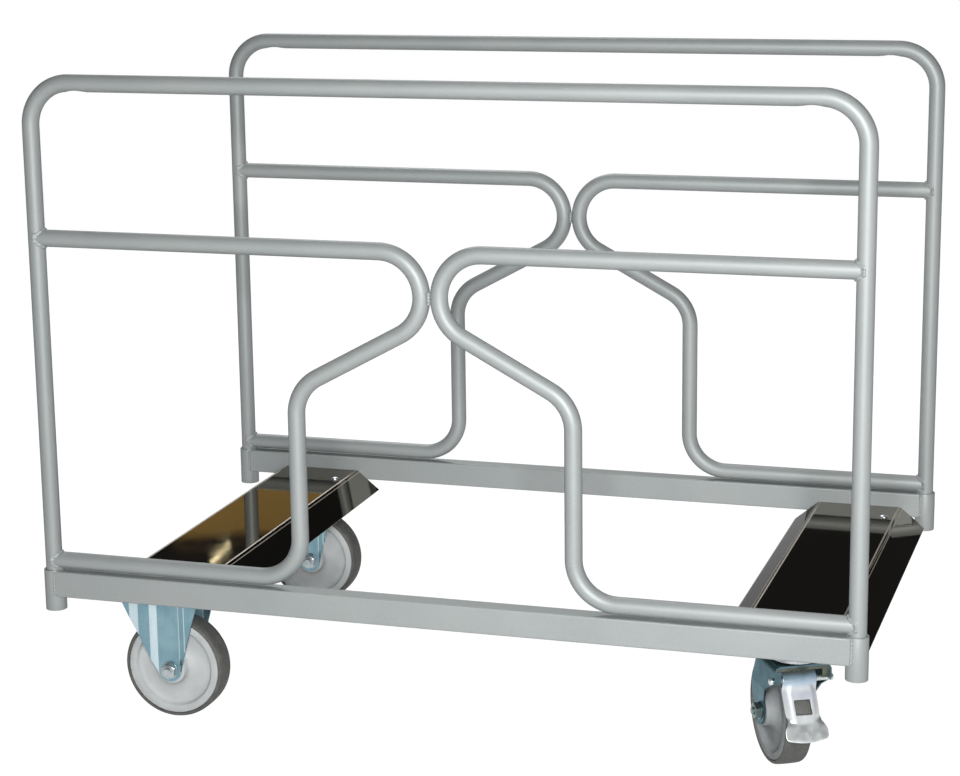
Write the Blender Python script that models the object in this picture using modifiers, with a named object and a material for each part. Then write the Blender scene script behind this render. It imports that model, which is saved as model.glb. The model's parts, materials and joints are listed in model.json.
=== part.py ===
"""Table cart: two lift-out tube side frames on a low wheeled base.

The base is a pair of box rails with a socket at each end, two folded cross trays, and a pair of
fixed and a pair of braked swivel casters. X runs along the cart, Y across it, Z up from the floor.
All sizes are in metres.
"""

import math

import bmesh
import bpy
from mathutils import Matrix, Vector

# Side frames
LEG_SPAN_X = 1.213
LEG_SPAN_Y = 0.762
TUBE_DIA = 0.0254
TUBE_WALL = 0.0015
TOP_TUBE_RISE = 0.733
MID_TUBE_RISE = 0.506
LOW_TUBE_RISE = 0.015
HOOP_BEND_R = 0.063
INFILL_BEND_R = 0.063
INFILL_GAP = 0.0006
INFILL_SLOPE_DEG = 28.5
INFILL_UPRIGHT_X = 0.206
WELD_DIA = 0.006
WELD_LENGTH = 0.020
WELD_BITE = 0.00045

# Rails and sockets
RAIL_HEIGHT = 0.040
RAIL_WIDTH = 0.030
RAIL_WALL = 0.002
RAIL_CORNER_R = 0.0025
SOCKET_DIA = 0.032
SOCKET_BORE = 0.0264
SOCKET_PROUD = 0.001
SOCKET_LENGTH = 0.0635
SOCKET_FLOOR_T = 0.005
SOCKET_DRAIN_DIA = 0.016
SOCKET_RIM_CHAMFER = 0.001

# Folded cross trays and the flat bars under them
FIXED_TRAY_SETBACK = 0.1455
SWIVEL_TRAY_SETBACK = 0.1065
TRAY_DEPTH = 0.0238
TRAY_FLAT = 0.137
TRAY_FLANGE_REACH = 0.040
TRAY_FLANGE_DROP = 0.033
TRAY_SHEET = 0.002
TRAY_BEND_R = 0.006
TRAY_SOCKET_RELIEF = 0.002
TRAY_MITRE_LENGTH = 0.026
TRAY_MITRE_RISE = 0.011
BAR_WIDTH = 0.130
BAR_T = 0.006

# Casters
CASTER_SETBACK_Y = 0.086
CASTER_STACK = 0.0455
SWIVEL_SHIFT_X = 0.008
PLATE_X = 0.135
PLATE_Y = 0.125
PLATE_T = 0.0045
PLATE_CORNER_R = 0.008
BOLT_SPACING_X = 0.105
BOLT_SPACING_Y = 0.100
BOLT_DIA = 0.008
BOLT_HEAD_DIA = 0.0150
BOLT_HEAD_H = 0.0053
WHEEL_DIA = 0.160
TYRE_WIDTH = 0.040
TYRE_SIDE = 0.0065
TYRE_SHOULDER = 0.005
TYRE_SEAT = 0.004
RIM_RING = 0.011
WEB_T = 0.014
HUB_DIA = 0.046
HUB_LENGTH = 0.060
SLEEVE_DIA = 0.018
AXLE_DIA = 0.012
NUT_DIA = 0.0208
NUT_H = 0.008
FORK_SHEET = 0.003

# Fixed forks
FIXED_FORK_TOP = 0.132
FIXED_AXLE_LEAD = 0.0125
FIXED_FORK_EYE_R = 0.0185
PANEL_HALF = 0.0175
PANEL_SLOPE = 0.011
PANEL_DEPTH = 0.005
FLAT_REACH = 0.018
WING_SLOPE = 0.0135
WING_DEPTH = 0.003

# Braked swivel casters, whose forks are drawn on U (the pedal's side) and Z
SWIVEL_HEADING_DEG = 60.0
TRAIL = 0.058
CROWN_CLEARANCE = 0.016
CROWN_BEND_R = 0.009
CROWN_REAR_U = -0.042
FORK_EYE_R = 0.020
FORK_CROWN_W = 0.085
FORK_NECK_RISE = 0.024
FORK_SHOULDER_DROP = 0.050
FORK_NOSE = 0.009
FORK_ARCH_U = -0.008
FORK_ARCH_DROP = 0.016
FRONT_WALL_GAP = 0.0015
FRONT_LIP = 0.0114
RACE_DIA = 0.078
RACE_WALL = 0.004
RACE_SKIRT_H = 0.010
CONE_DIA = 0.064
KINGPIN_DIA = 0.012
KINGPIN_HEAD_DIA = 0.019
KINGPIN_HEAD_H = 0.006
PIN_DROP = 0.024
PIN_DIA = 0.008
PIN_HEAD_DIA = 0.013
PIN_HEAD_H = 0.005
PEDAL_SHEET = 0.0022
PEDAL_CURL_R = 0.0075
PEDAL_TOP_W = 0.054
PEDAL_WAIST_W = 0.049
PEDAL_TIP_W = 0.063
PEDAL_SHANK_U = 0.019
PEDAL_SHANK_Z = -0.050
PEDAL_TIP_U = 0.036
PEDAL_TIP_Z = -0.078
WINDOW_W = 0.026
WINDOW_TOP_Z = -0.026
WINDOW_LOW_Z = -0.047
SHOE_WIDTH = 0.034
SHOE_T = 0.013

# Clearances
SEAT_GAP = 0.0003
RUNNING_GAP = 0.0004
PLAIN_HOLE_GAP = 0.0005

# Facets
BEND_STEP = math.radians(22)
SMALL_STEP = math.radians(30)
TUBE_BEVEL_RESOLUTION = 3
WHEEL_STEPS = 18
RING_STEPS = 12
HOLE_STEPS = 8
BOLT_STEPS = 6

# Derived places
LEG_X = LEG_SPAN_X / 2
LEG_Y = LEG_SPAN_Y / 2
TUBE_R = TUBE_DIA / 2
SOCKET_R = SOCKET_DIA / 2
AXLE_Z = WHEEL_DIA / 2
RAIL_LOW_Z = WHEEL_DIA + CASTER_STACK
RAIL_TOP_Z = RAIL_LOW_Z + RAIL_HEIGHT
TOP_TUBE_Z = RAIL_TOP_Z + TOP_TUBE_RISE
MID_TUBE_Z = RAIL_TOP_Z + MID_TUBE_RISE
LOW_TUBE_Z = RAIL_TOP_Z + LOW_TUBE_RISE
SOCKET_TOP_Z = RAIL_TOP_Z + SOCKET_PROUD
SOCKET_SEAT_Z = SOCKET_TOP_Z - SOCKET_LENGTH + SOCKET_FLOOR_T
TRAY_TOP_Z = RAIL_TOP_Z - TRAY_DEPTH
FIXED_TRAY_X = FIXED_TRAY_SETBACK - LEG_X
SWIVEL_TRAY_X = LEG_X - SWIVEL_TRAY_SETBACK
CASTER_Y = LEG_Y - CASTER_SETBACK_Y
CROWN_TOP_Z = WHEEL_DIA + CROWN_CLEARANCE
FORK_NECK_Z = AXLE_Z + FORK_NECK_RISE
FORK_SHOULDER_Z = CROWN_TOP_Z - FORK_SHOULDER_DROP
PIN_U = WHEEL_DIA / 2 - TRAIL
PIN_Z = CROWN_TOP_Z - PIN_DROP
RAIL_INNER_Y = LEG_Y - RAIL_WIDTH / 2
CROSS_HALF_Y = RAIL_INNER_Y - SEAT_GAP
PLATE_TOP_Z = RAIL_LOW_Z - SEAT_GAP
PLATE_LOW_Z = PLATE_TOP_Z - PLATE_T
FORK_INNER = HUB_LENGTH / 2 + SEAT_GAP
FORK_OUTER = FORK_INNER + FORK_SHEET
FORK_WIDE = FORK_CROWN_W / 2 - FORK_SHEET / 2

for old in list(bpy.data.objects):
    bpy.data.objects.remove(old, do_unlink=True)

parts = bpy.data.collections.new("table_cart")
bpy.context.scene.collection.children.link(parts)
cutters = bpy.data.collections.new("table_cart_cutters")
bpy.context.scene.collection.children.link(cutters)


def material(name, colour, roughness, metallic):
    """A Principled material with one colour."""
    made = bpy.data.materials.new(name)
    made.use_nodes = True
    shader = made.node_tree.nodes["Principled BSDF"]
    shader.inputs["Base Color"].default_value = (*colour, 1.0)
    shader.inputs["Roughness"].default_value = roughness
    shader.inputs["Metallic"].default_value = metallic
    return made


SILVER_PAINT = material("silver_paint", (0.40, 0.41, 0.41), 0.35, 0.6)
BRONZE_GLOSS = material("bronze_gloss", (0.05, 0.04, 0.02), 0.08, 0.9)
ZINC = material("zinc_plate", (0.33, 0.44, 0.50), 0.32, 0.9)
BRIGHT_STEEL = material("bright_steel", (0.62, 0.63, 0.64), 0.28, 1.0)
GREY_PLASTIC = material("grey_plastic", (0.50, 0.51, 0.53), 0.55, 0.0)
DARK_RUBBER = material("dark_rubber", (0.07, 0.075, 0.07), 0.75, 0.0)


# Paths and outlines

def bore(radius, steps=HOLE_STEPS):
    """The corner radius of a faceted hole whose flats lie on the given radius."""
    return radius / math.cos(math.pi / steps)


AXLE_HOLE_R = bore(AXLE_DIA / 2 + SEAT_GAP)
PIN_HOLE_R = bore(PIN_DIA / 2 + SEAT_GAP)
PEDAL_HOLE_R = bore(PIN_DIA / 2 + RUNNING_GAP)
KINGPIN_HOLE_R = bore(KINGPIN_DIA / 2 + RUNNING_GAP)
TREAD_R = bore(WHEEL_DIA / 2, WHEEL_STEPS)


def arc(centre, radius, start, end, step=SMALL_STEP):
    """Points of an arc from one angle to another, both ends included."""
    count = max(1, math.ceil(abs(end - start) / step - 1e-6))
    angles = [start + (end - start) * i / count for i in range(count + 1)]
    return [(centre[0] + radius * math.cos(a), centre[1] + radius * math.sin(a)) for a in angles]


def rounded(points, radius, step=SMALL_STEP):
    """An open 2-D path with an arc of one radius at each inner corner."""
    path = [points[0]]
    for before, corner, after in zip(points, points[1:], points[2:]):
        corner_v = Vector(corner)
        inward = (corner_v - Vector(before)).normalized()
        outward = (Vector(after) - corner_v).normalized()
        turn = inward.angle_signed(outward)
        side = math.copysign(1, -turn)
        start = corner_v - inward * radius * math.tan(abs(turn) / 2)
        normal = Vector((-inward.y, inward.x)) * side
        centre = start + normal * radius
        first = math.atan2(start.y - centre.y, start.x - centre.x)
        path += arc(centre, radius, first, first - turn, step)
    return path + [points[-1]]


def band(path, thickness):
    """The closed outline of a strip of one thickness along an open 2-D path."""
    left, right = [], []
    for i, point in enumerate(path):
        here = Vector(point)
        before = Vector(path[max(i - 1, 0)])
        after = Vector(path[min(i + 1, len(path) - 1)])
        first = (here - before if i else after - here).normalized()
        second = (after - here if i < len(path) - 1 else here - before).normalized()
        normals = [Vector((-d.y, d.x)) for d in (first, second)]
        mitre = (normals[0] + normals[1]).normalized()
        reach = thickness / 2 / mitre.dot(normals[0])
        left.append(tuple(here + mitre * reach))
        right.append(tuple(here - mitre * reach))
    return left + right[::-1]


def mirrored(outline):
    """An outline's right half, closed by its mirror image across the second axis."""
    return outline + [(-a, b) for a, b in reversed(outline) if abs(a) > 1e-7]


# Meshes

def evaluated_mesh(source):
    """The source's mesh with its modifiers applied and its seams welded; the source is removed."""
    parts.objects.link(source)
    bpy.context.view_layer.update()
    evaluated = source.evaluated_get(bpy.context.evaluated_depsgraph_get())
    mesh = bpy.data.meshes.new_from_object(evaluated)
    bpy.data.objects.remove(source, do_unlink=True)
    edit = bmesh.new()
    edit.from_mesh(mesh)
    bmesh.ops.remove_doubles(edit, verts=edit.verts, dist=1e-6)
    edit.to_mesh(mesh)
    edit.free()
    return mesh


def tube_mesh(path, radius, wall):
    """A hollow round tube along a path on X and Z."""
    curve = bpy.data.curves.new("tube_path", "CURVE")
    curve.dimensions = "3D"
    curve.bevel_depth = radius
    curve.bevel_resolution = TUBE_BEVEL_RESOLUTION
    spline = curve.splines.new("POLY")
    spline.points.add(len(path) - 1)
    for point, (x, z) in zip(spline.points, path):
        point.co = (x, 0, z, 1)
    source = bpy.data.objects.new("tube_path", curve)
    solidify = source.modifiers.new("wall", "SOLIDIFY")
    solidify.thickness = wall
    solidify.offset = -1
    return evaluated_mesh(source)


def turned_mesh(profile, steps):
    """A solid turned about Z from a profile of (radius, height), down its outer side."""
    mesh = bpy.data.meshes.new("profile")
    count = len(profile)
    on_axis = abs(profile[0][0]) < 1e-9
    edges = [(i, i + 1) for i in range(count - 1)]
    if not on_axis:
        edges.append((count - 1, 0))
    mesh.from_pydata([(r, 0, z) for r, z in profile], edges, [])
    source = bpy.data.objects.new("profile", mesh)
    screw = source.modifiers.new("turn", "SCREW")
    screw.steps = steps
    screw.render_steps = steps
    screw.use_merge_vertices = True
    screw.merge_threshold = 1e-5
    return evaluated_mesh(source)


def prism_mesh(outline, low, high, across):
    """A flat outline made solid from low to high along the axis it lies across."""
    curve = bpy.data.curves.new("outline", "CURVE")
    curve.dimensions = "2D"
    curve.fill_mode = "BOTH"
    curve.extrude = (high - low) / 2
    spline = curve.splines.new("POLY")
    spline.points.add(len(outline) - 1)
    for point, (a, b) in zip(spline.points, outline):
        point.co = (a, b, 0, 1)
    spline.use_cyclic_u = True
    mesh = evaluated_mesh(bpy.data.objects.new("outline", curve))
    turns = {
        "Z": Matrix.Identity(4),
        "Y": Matrix.Rotation(math.pi / 2, 4, "X"),
        "X": Matrix.Rotation(math.pi / 2, 4, "Z") @ Matrix.Rotation(math.pi / 2, 4, "X"),
    }
    turn = turns[across]
    middle = turn.to_3x3() @ Vector((0, 0, (low + high) / 2))
    if across == "Y":
        middle = -middle
    mesh.transform(Matrix.Translation(middle) @ turn)
    return mesh


def rod_mesh(radius, low, high, across, steps=HOLE_STEPS):
    """A round rod about the axis it lies along."""
    mesh = turned_mesh([(0, high), (radius, high), (radius, low), (0, low)], steps)
    turns = {
        "Z": Matrix.Identity(4),
        "Y": Matrix.Rotation(-math.pi / 2, 4, "X"),
        "X": Matrix.Rotation(math.pi / 2, 4, "Y"),
    }
    mesh.transform(turns[across])
    return mesh


def grouped_mesh(mesh, places):
    """Copies of one mesh at several places, as separate solids of one mesh."""
    edit = bmesh.new()
    for place in places:
        copy = mesh.copy()
        copy.transform(Matrix.Translation(place))
        edit.from_mesh(copy)
        bpy.data.meshes.remove(copy)
    grouped = bpy.data.meshes.new("group")
    edit.to_mesh(grouped)
    edit.free()
    return grouped


# Objects

def place_empty(name, place, heading=0.0, parent=None):
    """An empty on a joint's axis that carries the pieces of one moving group."""
    empty = bpy.data.objects.new(name, None)
    empty.location = place
    empty.rotation_euler.z = heading
    empty.parent = parent
    parts.objects.link(empty)
    return empty


def part(name, mesh, finish, parent=None, place=(0, 0, 0)):
    """One named piece with its finish."""
    mesh.name = name
    mesh.materials.clear()
    mesh.materials.append(finish)
    mesh.shade_smooth()
    mesh.set_sharp_from_angle(angle=math.radians(35))
    made = bpy.data.objects.new(name, mesh)
    made.location = place
    made.parent = parent
    parts.objects.link(made)
    return made


def combine(target, mesh, operation, place=(0, 0, 0)):
    """Cut a piece by a mesh, join the mesh to it or keep what the two share."""
    tool = bpy.data.objects.new(f"{target.name}_{operation.lower()}", mesh)
    tool.location = place
    tool.parent = target.parent
    tool.hide_render = True
    tool.display_type = "WIRE"
    cutters.objects.link(tool)
    boolean = target.modifiers.new(operation.lower(), "BOOLEAN")
    boolean.operation = operation
    boolean.object = tool


# Side frames

def make_side_frame(side, y):
    """An inverted-U hoop with two bent infill tubes that meet in the middle."""
    carrier = place_empty(f"{side}_frame_lift", (0, y, 0))
    leg_foot = SOCKET_SEAT_Z + SEAT_GAP
    hoop_corners = [(-LEG_X, leg_foot), (-LEG_X, TOP_TUBE_Z), (LEG_X, TOP_TUBE_Z), (LEG_X, leg_foot)]
    hoop = tube_mesh(rounded(hoop_corners, HOOP_BEND_R, BEND_STEP), TUBE_R, TUBE_WALL)
    part(f"{side}_hoop", hoop, SILVER_PAINT, carrier)
    for end, sign in (("left", -1), ("right", 1)):
        path = [(sign * x, z) for x, z in infill_path()]
        infill = part(f"{side}_{end}_infill", tube_mesh(path, TUBE_R, TUBE_WALL), SILVER_PAINT, carrier)
        saddle = rod_mesh(bore(TUBE_R + SEAT_GAP, RING_STEPS), 0, TOP_TUBE_Z, "Z", RING_STEPS)
        combine(infill, saddle, "DIFFERENCE", (sign * LEG_X, 0, 0))
    bead = rod_mesh(WELD_DIA / 2, -WELD_LENGTH / 2, WELD_LENGTH / 2, "Z")
    tube_x = INFILL_GAP / 2 + TUBE_R
    groove_y = math.sqrt((TUBE_R + WELD_DIA / 2 - WELD_BITE) ** 2 - tube_x ** 2)
    bead_place = (0, -groove_y, MID_TUBE_Z - INFILL_BEND_R)
    part(f"{side}_centre_weld", bead, SILVER_PAINT, carrier, bead_place)


def infill_path():
    """The right-hand infill's centre line: leg, inner bend, slope, upright, foot and leg again."""
    slope = math.radians(INFILL_SLOPE_DEG)
    nose_centre_x = INFILL_GAP / 2 + TUBE_R + INFILL_BEND_R
    corner_x = nose_centre_x - INFILL_BEND_R / math.tan(slope / 2)
    knee_z = MID_TUBE_Z - (INFILL_UPRIGHT_X - corner_x) * math.tan(slope)
    corners = [
        (LEG_X, MID_TUBE_Z),
        (corner_x, MID_TUBE_Z),
        (INFILL_UPRIGHT_X, knee_z),
        (INFILL_UPRIGHT_X, LOW_TUBE_Z),
        (LEG_X, LOW_TUBE_Z),
    ]
    return rounded(corners, INFILL_BEND_R, BEND_STEP)


# Base

def make_rail(side, y):
    """A box-section rail, hollow from end to end, coped to the sockets that it is welded to."""
    outer = rounded_box_outline(RAIL_WIDTH, RAIL_HEIGHT, RAIL_CORNER_R)
    inner = rounded_box_outline(RAIL_WIDTH - 2 * RAIL_WALL, RAIL_HEIGHT - 2 * RAIL_WALL, RAIL_WALL / 4)
    place = (0, y, RAIL_TOP_Z - RAIL_HEIGHT / 2)
    rail = part(f"{side}_rail", prism_mesh(outer, -LEG_X, LEG_X, "X"), SILVER_PAINT, None, place)
    combine(rail, prism_mesh(inner, -LEG_SPAN_X, LEG_SPAN_X, "X"), "DIFFERENCE", place)
    for sign in (-1, 1):
        cope = rod_mesh(bore(SOCKET_R + SEAT_GAP, RING_STEPS), -RAIL_HEIGHT, RAIL_HEIGHT, "Z", RING_STEPS)
        combine(rail, cope, "DIFFERENCE", (sign * LEG_X, y, place[2]))


def rounded_box_outline(width, height, radius):
    """A rectangle with one arc at each corner."""
    a, b = width / 2 - radius, height / 2 - radius
    quarter = math.pi / 2
    corners = [(a, b), (-a, b), (-a, -b), (a, -b)]
    outline = []
    for i, corner in enumerate(corners):
        outline += arc(corner, radius, i * quarter, (i + 1) * quarter, 2 * SMALL_STEP)
    return outline


def make_sockets():
    """Four short tubes that the legs drop into, each with a floor and a drain hole."""
    bore_r, drain = bore(SOCKET_BORE / 2, RING_STEPS), SOCKET_DRAIN_DIA / 2
    low, chamfer = SOCKET_TOP_Z - SOCKET_LENGTH, SOCKET_RIM_CHAMFER
    profile = [
        (bore_r, SOCKET_TOP_Z),
        (SOCKET_R - chamfer, SOCKET_TOP_Z),
        (SOCKET_R, SOCKET_TOP_Z - chamfer),
        (SOCKET_R, low),
        (drain, low),
        (drain, SOCKET_SEAT_Z),
        (bore_r, SOCKET_SEAT_Z),
    ]
    for side, y in (("front", -LEG_Y), ("rear", LEG_Y)):
        for end, x in (("left", -LEG_X), ("right", LEG_X)):
            part(f"{side}_{end}_socket", turned_mesh(profile, RING_STEPS), SILVER_PAINT, None, (x, y, 0))


def make_tray(end, x, bar_x):
    """A folded sheet tray, its edges turned down and mitred at the front, and the flat bar below it."""
    flat = TRAY_FLAT / 2
    edge, low = flat + TRAY_FLANGE_REACH, -TRAY_FLANGE_DROP
    path = rounded([(-edge, low), (-flat, 0), (flat, 0), (edge, low)], TRAY_BEND_R, SMALL_STEP / 2)
    place = (x, 0, TRAY_TOP_Z - TRAY_SHEET / 2)
    folded = prism_mesh(band(path, TRAY_SHEET), -CROSS_HALF_Y, CROSS_HALF_Y, "Y")
    tray = part(f"{end}_tray", folded, BRONZE_GLOSS, None, place)
    socket_x = math.copysign(LEG_X, x)
    relief = SOCKET_R + TRAY_SOCKET_RELIEF
    for y in (-LEG_Y, LEG_Y):
        combine(tray, rod_mesh(relief, 0, TRAY_TOP_Z, "Z", RING_STEPS), "DIFFERENCE", (socket_x, y, 0))
    flange_low = TRAY_TOP_Z - TRAY_FLANGE_DROP - TRAY_SHEET
    end_y, over = -CROSS_HALF_Y, TRAY_SHEET
    slope = TRAY_MITRE_RISE / TRAY_MITRE_LENGTH
    mitre = [
        (end_y - over, flange_low + TRAY_MITRE_RISE + over * slope),
        (end_y - over, flange_low - over),
        (end_y + TRAY_MITRE_LENGTH + over / slope, flange_low - over),
    ]
    combine(tray, prism_mesh(mitre, x - TRAY_FLAT, x + TRAY_FLAT, "X"), "DIFFERENCE")

    half = BAR_WIDTH / 2
    outline = [(-half, -CROSS_HALF_Y), (half, -CROSS_HALF_Y), (half, CROSS_HALF_Y), (-half, CROSS_HALF_Y)]
    bar_mesh = prism_mesh(outline, RAIL_LOW_Z, RAIL_LOW_Z + BAR_T, "Z")
    bar = part(f"{end}_cross_bar", bar_mesh, SILVER_PAINT, None, (bar_x, 0, 0))
    for y in (-CASTER_Y, CASTER_Y):
        drill_bolt_holes(bar, (bar_x, y), RAIL_LOW_Z, RAIL_LOW_Z + BAR_T)


def bolt_places():
    """A caster plate's four bolt places, from its centre."""
    half_x, half_y = BOLT_SPACING_X / 2, BOLT_SPACING_Y / 2
    return [(sx * half_x, sy * half_y) for sx in (-1, 1) for sy in (-1, 1)]


def drill_bolt_holes(target, centre, low, high):
    """Four bolt holes through a piece between two heights."""
    hole = rod_mesh(BOLT_DIA / 2 + PLAIN_HOLE_GAP, low - BAR_T, high + BAR_T, "Z", BOLT_STEPS)
    places = [(centre[0] + x, centre[1] + y, 0) for x, y in bolt_places()]
    combine(target, grouped_mesh(hole, places), "DIFFERENCE")


def plate_bolts_mesh():
    """The four bolts that hold a caster plate up to its cross bar."""
    shank_r, head_r = BOLT_DIA / 2, BOLT_HEAD_DIA / 2
    head_top = (PLATE_LOW_Z + PLATE_TOP_Z) / 2
    profile = [
        (0, RAIL_LOW_Z + BAR_T),
        (shank_r, RAIL_LOW_Z + BAR_T),
        (shank_r, head_top),
        (head_r, head_top),
        (head_r, PLATE_LOW_Z - BOLT_HEAD_H),
        (0, PLATE_LOW_Z - BOLT_HEAD_H),
    ]
    return grouped_mesh(turned_mesh(profile, BOLT_STEPS), [(x, y, 0) for x, y in bolt_places()])


# Casters

def make_plate(name, centre):
    """A caster's top plate, with its four bolts made fast in it."""
    outline = rounded_box_outline(PLATE_X, PLATE_Y, PLATE_CORNER_R)
    place = (*centre, 0)
    plate = part(f"{name}_plate", prism_mesh(outline, PLATE_LOW_Z, PLATE_TOP_Z, "Z"), ZINC, None, place)
    combine(plate, plate_bolts_mesh(), "UNION", place)
    return plate


def make_wheel(name, carrier, axle_u):
    """A tyred wheel on a sleeve, clamped by a bolt and nut; drawn about the axle, on its own empty."""
    axle = place_empty(f"{name}_spin", (axle_u, 0, AXLE_Z), 0, carrier)
    tread_r, half = TREAD_R, TYRE_WIDTH / 2
    rim_r = tread_r - TYRE_SIDE
    seat_r = rim_r - TYRE_SEAT
    inset = TYRE_SHOULDER
    tyre = [
        (rim_r, half),
        (tread_r - inset / 2, half),
        (tread_r, half - inset),
        (tread_r, inset - half),
        (tread_r - inset / 2, -half),
        (rim_r, -half),
        (rim_r, inset - half),
        (seat_r, inset - half),
        (seat_r, half - inset),
        (rim_r, half - inset),
    ]
    upright = Matrix.Rotation(-math.pi / 2, 4, "X")
    tyre_mesh = turned_mesh(tyre, WHEEL_STEPS)
    tyre_mesh.transform(upright)
    part(f"{name}_tyre", tyre_mesh, DARK_RUBBER, axle)

    ring_r, web, hub_r = rim_r - RIM_RING, WEB_T / 2, HUB_DIA / 2
    bore_r = bore(SLEEVE_DIA / 2 + RUNNING_GAP, WHEEL_STEPS)
    face = half - SEAT_GAP
    hub_end = HUB_LENGTH / 2 - RUNNING_GAP
    outer_side = [
        (bore_r, hub_end),
        (hub_r * 0.8, hub_end),
        (hub_r, web + RIM_RING),
        (hub_r + RIM_RING, web),
        (ring_r - RIM_RING / 2, web),
        (ring_r, face),
        (rim_r - SEAT_GAP, face),
        (rim_r - SEAT_GAP, half - inset + SEAT_GAP),
        (seat_r - SEAT_GAP, half - inset + SEAT_GAP),
    ]
    core_mesh = turned_mesh(outer_side + [(r, -h) for r, h in reversed(outer_side)], WHEEL_STEPS)
    core_mesh.transform(upright)
    part(f"{name}_core", core_mesh, GREY_PLASTIC, axle)

    sleeve_end = HUB_LENGTH / 2
    bolt_clear = AXLE_HOLE_R
    sleeve = [
        (bolt_clear, sleeve_end),
        (SLEEVE_DIA / 2, sleeve_end),
        (SLEEVE_DIA / 2, -sleeve_end),
        (bolt_clear, -sleeve_end),
    ]
    sleeve_mesh = turned_mesh(sleeve, HOLE_STEPS)
    sleeve_mesh.transform(upright)
    part(f"{name}_sleeve", sleeve_mesh, BRIGHT_STEEL, axle)

    seat = FORK_OUTER + SEAT_GAP
    axle_r, nut_r = AXLE_DIA / 2, NUT_DIA / 2
    bolt_end = seat + NUT_H + AXLE_DIA / 4
    bolt = [
        (0, bolt_end), (axle_r, bolt_end), (axle_r, -seat),
        (nut_r, -seat), (nut_r, -seat - NUT_H), (0, -seat - NUT_H),
    ]
    nut_forward = Matrix.Rotation(math.pi / 2, 4, "X")
    bolt_mesh = turned_mesh(bolt, HOLE_STEPS)
    bolt_mesh.transform(nut_forward)
    part(f"{name}_axle_bolt", bolt_mesh, BRIGHT_STEEL, axle)
    nut_bore = bore(axle_r + SEAT_GAP, BOLT_STEPS)
    nut = [(nut_bore, seat + NUT_H), (nut_r, seat + NUT_H), (nut_r, seat), (nut_bore, seat)]
    nut_mesh = turned_mesh(nut, BOLT_STEPS)
    nut_mesh.transform(nut_forward)
    part(f"{name}_axle_nut", nut_mesh, BRIGHT_STEEL, axle)


def make_fixed_caster(name, centre):
    """A fixed caster: a pressed fork under its plate, each leg folded out in steps from its middle."""
    make_plate(name, centre)
    carrier = place_empty(f"{name}_stand", (*centre, 0))
    top = PLATE_LOW_Z - SEAT_GAP
    eye, half, lead = FIXED_FORK_EYE_R, FIXED_FORK_TOP / 2, FIXED_AXLE_LEAD
    rear_lean = math.atan2(half + lead - eye, top - AXLE_Z)
    front_lean = math.atan2(half - lead - eye, top - AXLE_Z)
    eye_arc = arc((lead, AXLE_Z), eye, math.pi + rear_lean, 2 * math.pi - front_lean)
    side = [(-half, top)] + eye_arc + [(half, top)]
    fork = part(f"{name}_fork", prism_mesh(side, -2 * FORK_OUTER, 2 * FORK_OUTER, "Y"), ZINC, carrier)

    panel = FORK_INNER + FORK_SHEET / 2
    flat = panel + PANEL_DEPTH
    flat_start = PANEL_HALF + PANEL_SLOPE
    flat_end = flat_start + FLAT_REACH
    wing_start = flat_end + WING_SLOPE
    folds = [
        (PANEL_HALF, panel),
        (flat_start, flat),
        (flat_end, flat),
        (wing_start, flat + WING_DEPTH),
        (half + lead + WING_SLOPE, flat + WING_DEPTH),
    ]
    fold = [(lead - u, v) for u, v in reversed(folds)] + [(lead + u, v) for u, v in folds]
    low = AXLE_Z - 2 * eye
    leg = prism_mesh(band(fold, FORK_SHEET), low, top + FORK_SHEET, "Z")
    other_leg = leg.copy()
    other_leg.transform(Matrix.Translation((2 * lead, 0, 0)) @ Matrix.Rotation(math.pi, 4, "Z"))
    legs = bmesh.new()
    legs.from_mesh(leg)
    legs.from_mesh(other_leg)
    legs.to_mesh(leg)
    legs.free()
    combine(fork, leg, "INTERSECT")
    inside = [(u, v) for u, v in fold if abs(u) < half]
    crown = inside + [(u, -v) for u, v in reversed(inside)]
    combine(fork, prism_mesh(crown, top - FORK_SHEET, top - SEAT_GAP, "Z"), "UNION")
    combine(fork, rod_mesh(AXLE_HOLE_R, -LEG_Y, LEG_Y, "Y"), "DIFFERENCE", (lead, 0, AXLE_Z))
    make_wheel(name, carrier, lead)


def swivel_fork_outline():
    """The swivel fork's side, from its crown back and down to the axle eye and up the arch of its front."""
    eye_u, eye = -TRAIL, FORK_EYE_R
    nose_u = PIN_U + FORK_NOSE
    crown_front = (nose_u, CROWN_TOP_Z + FORK_SHEET)
    rear = [crown_front, (CROWN_REAR_U, CROWN_TOP_Z), (eye_u - eye, FORK_NECK_Z)]
    eye_arc = arc((eye_u, AXLE_Z), eye, -math.pi, 0)
    arch = [
        eye_arc[-1],
        (eye_u + eye, FORK_NECK_Z),
        (FORK_ARCH_U, PIN_Z - FORK_ARCH_DROP),
        (nose_u, PIN_Z - FORK_NOSE),
    ]
    return rounded(rear + [eye_arc[0]], eye)[1:-1] + eye_arc + rounded(arch, eye)[1:] + [crown_front]


def swivel_fork_section():
    """The swivel fork seen along the rolling direction: a bent sheet, wide over the wheel's top."""
    low = AXLE_Z - 2 * FORK_EYE_R
    narrow = FORK_INNER + FORK_SHEET / 2
    top = CROWN_TOP_Z - FORK_SHEET / 2
    right = [(FORK_WIDE, top), (FORK_WIDE, FORK_SHOULDER_Z), (narrow, FORK_NECK_Z), (narrow, low)]
    left = [(-v, z) for v, z in reversed(right)]
    return band(rounded(left + right, CROWN_BEND_R), FORK_SHEET)


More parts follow.
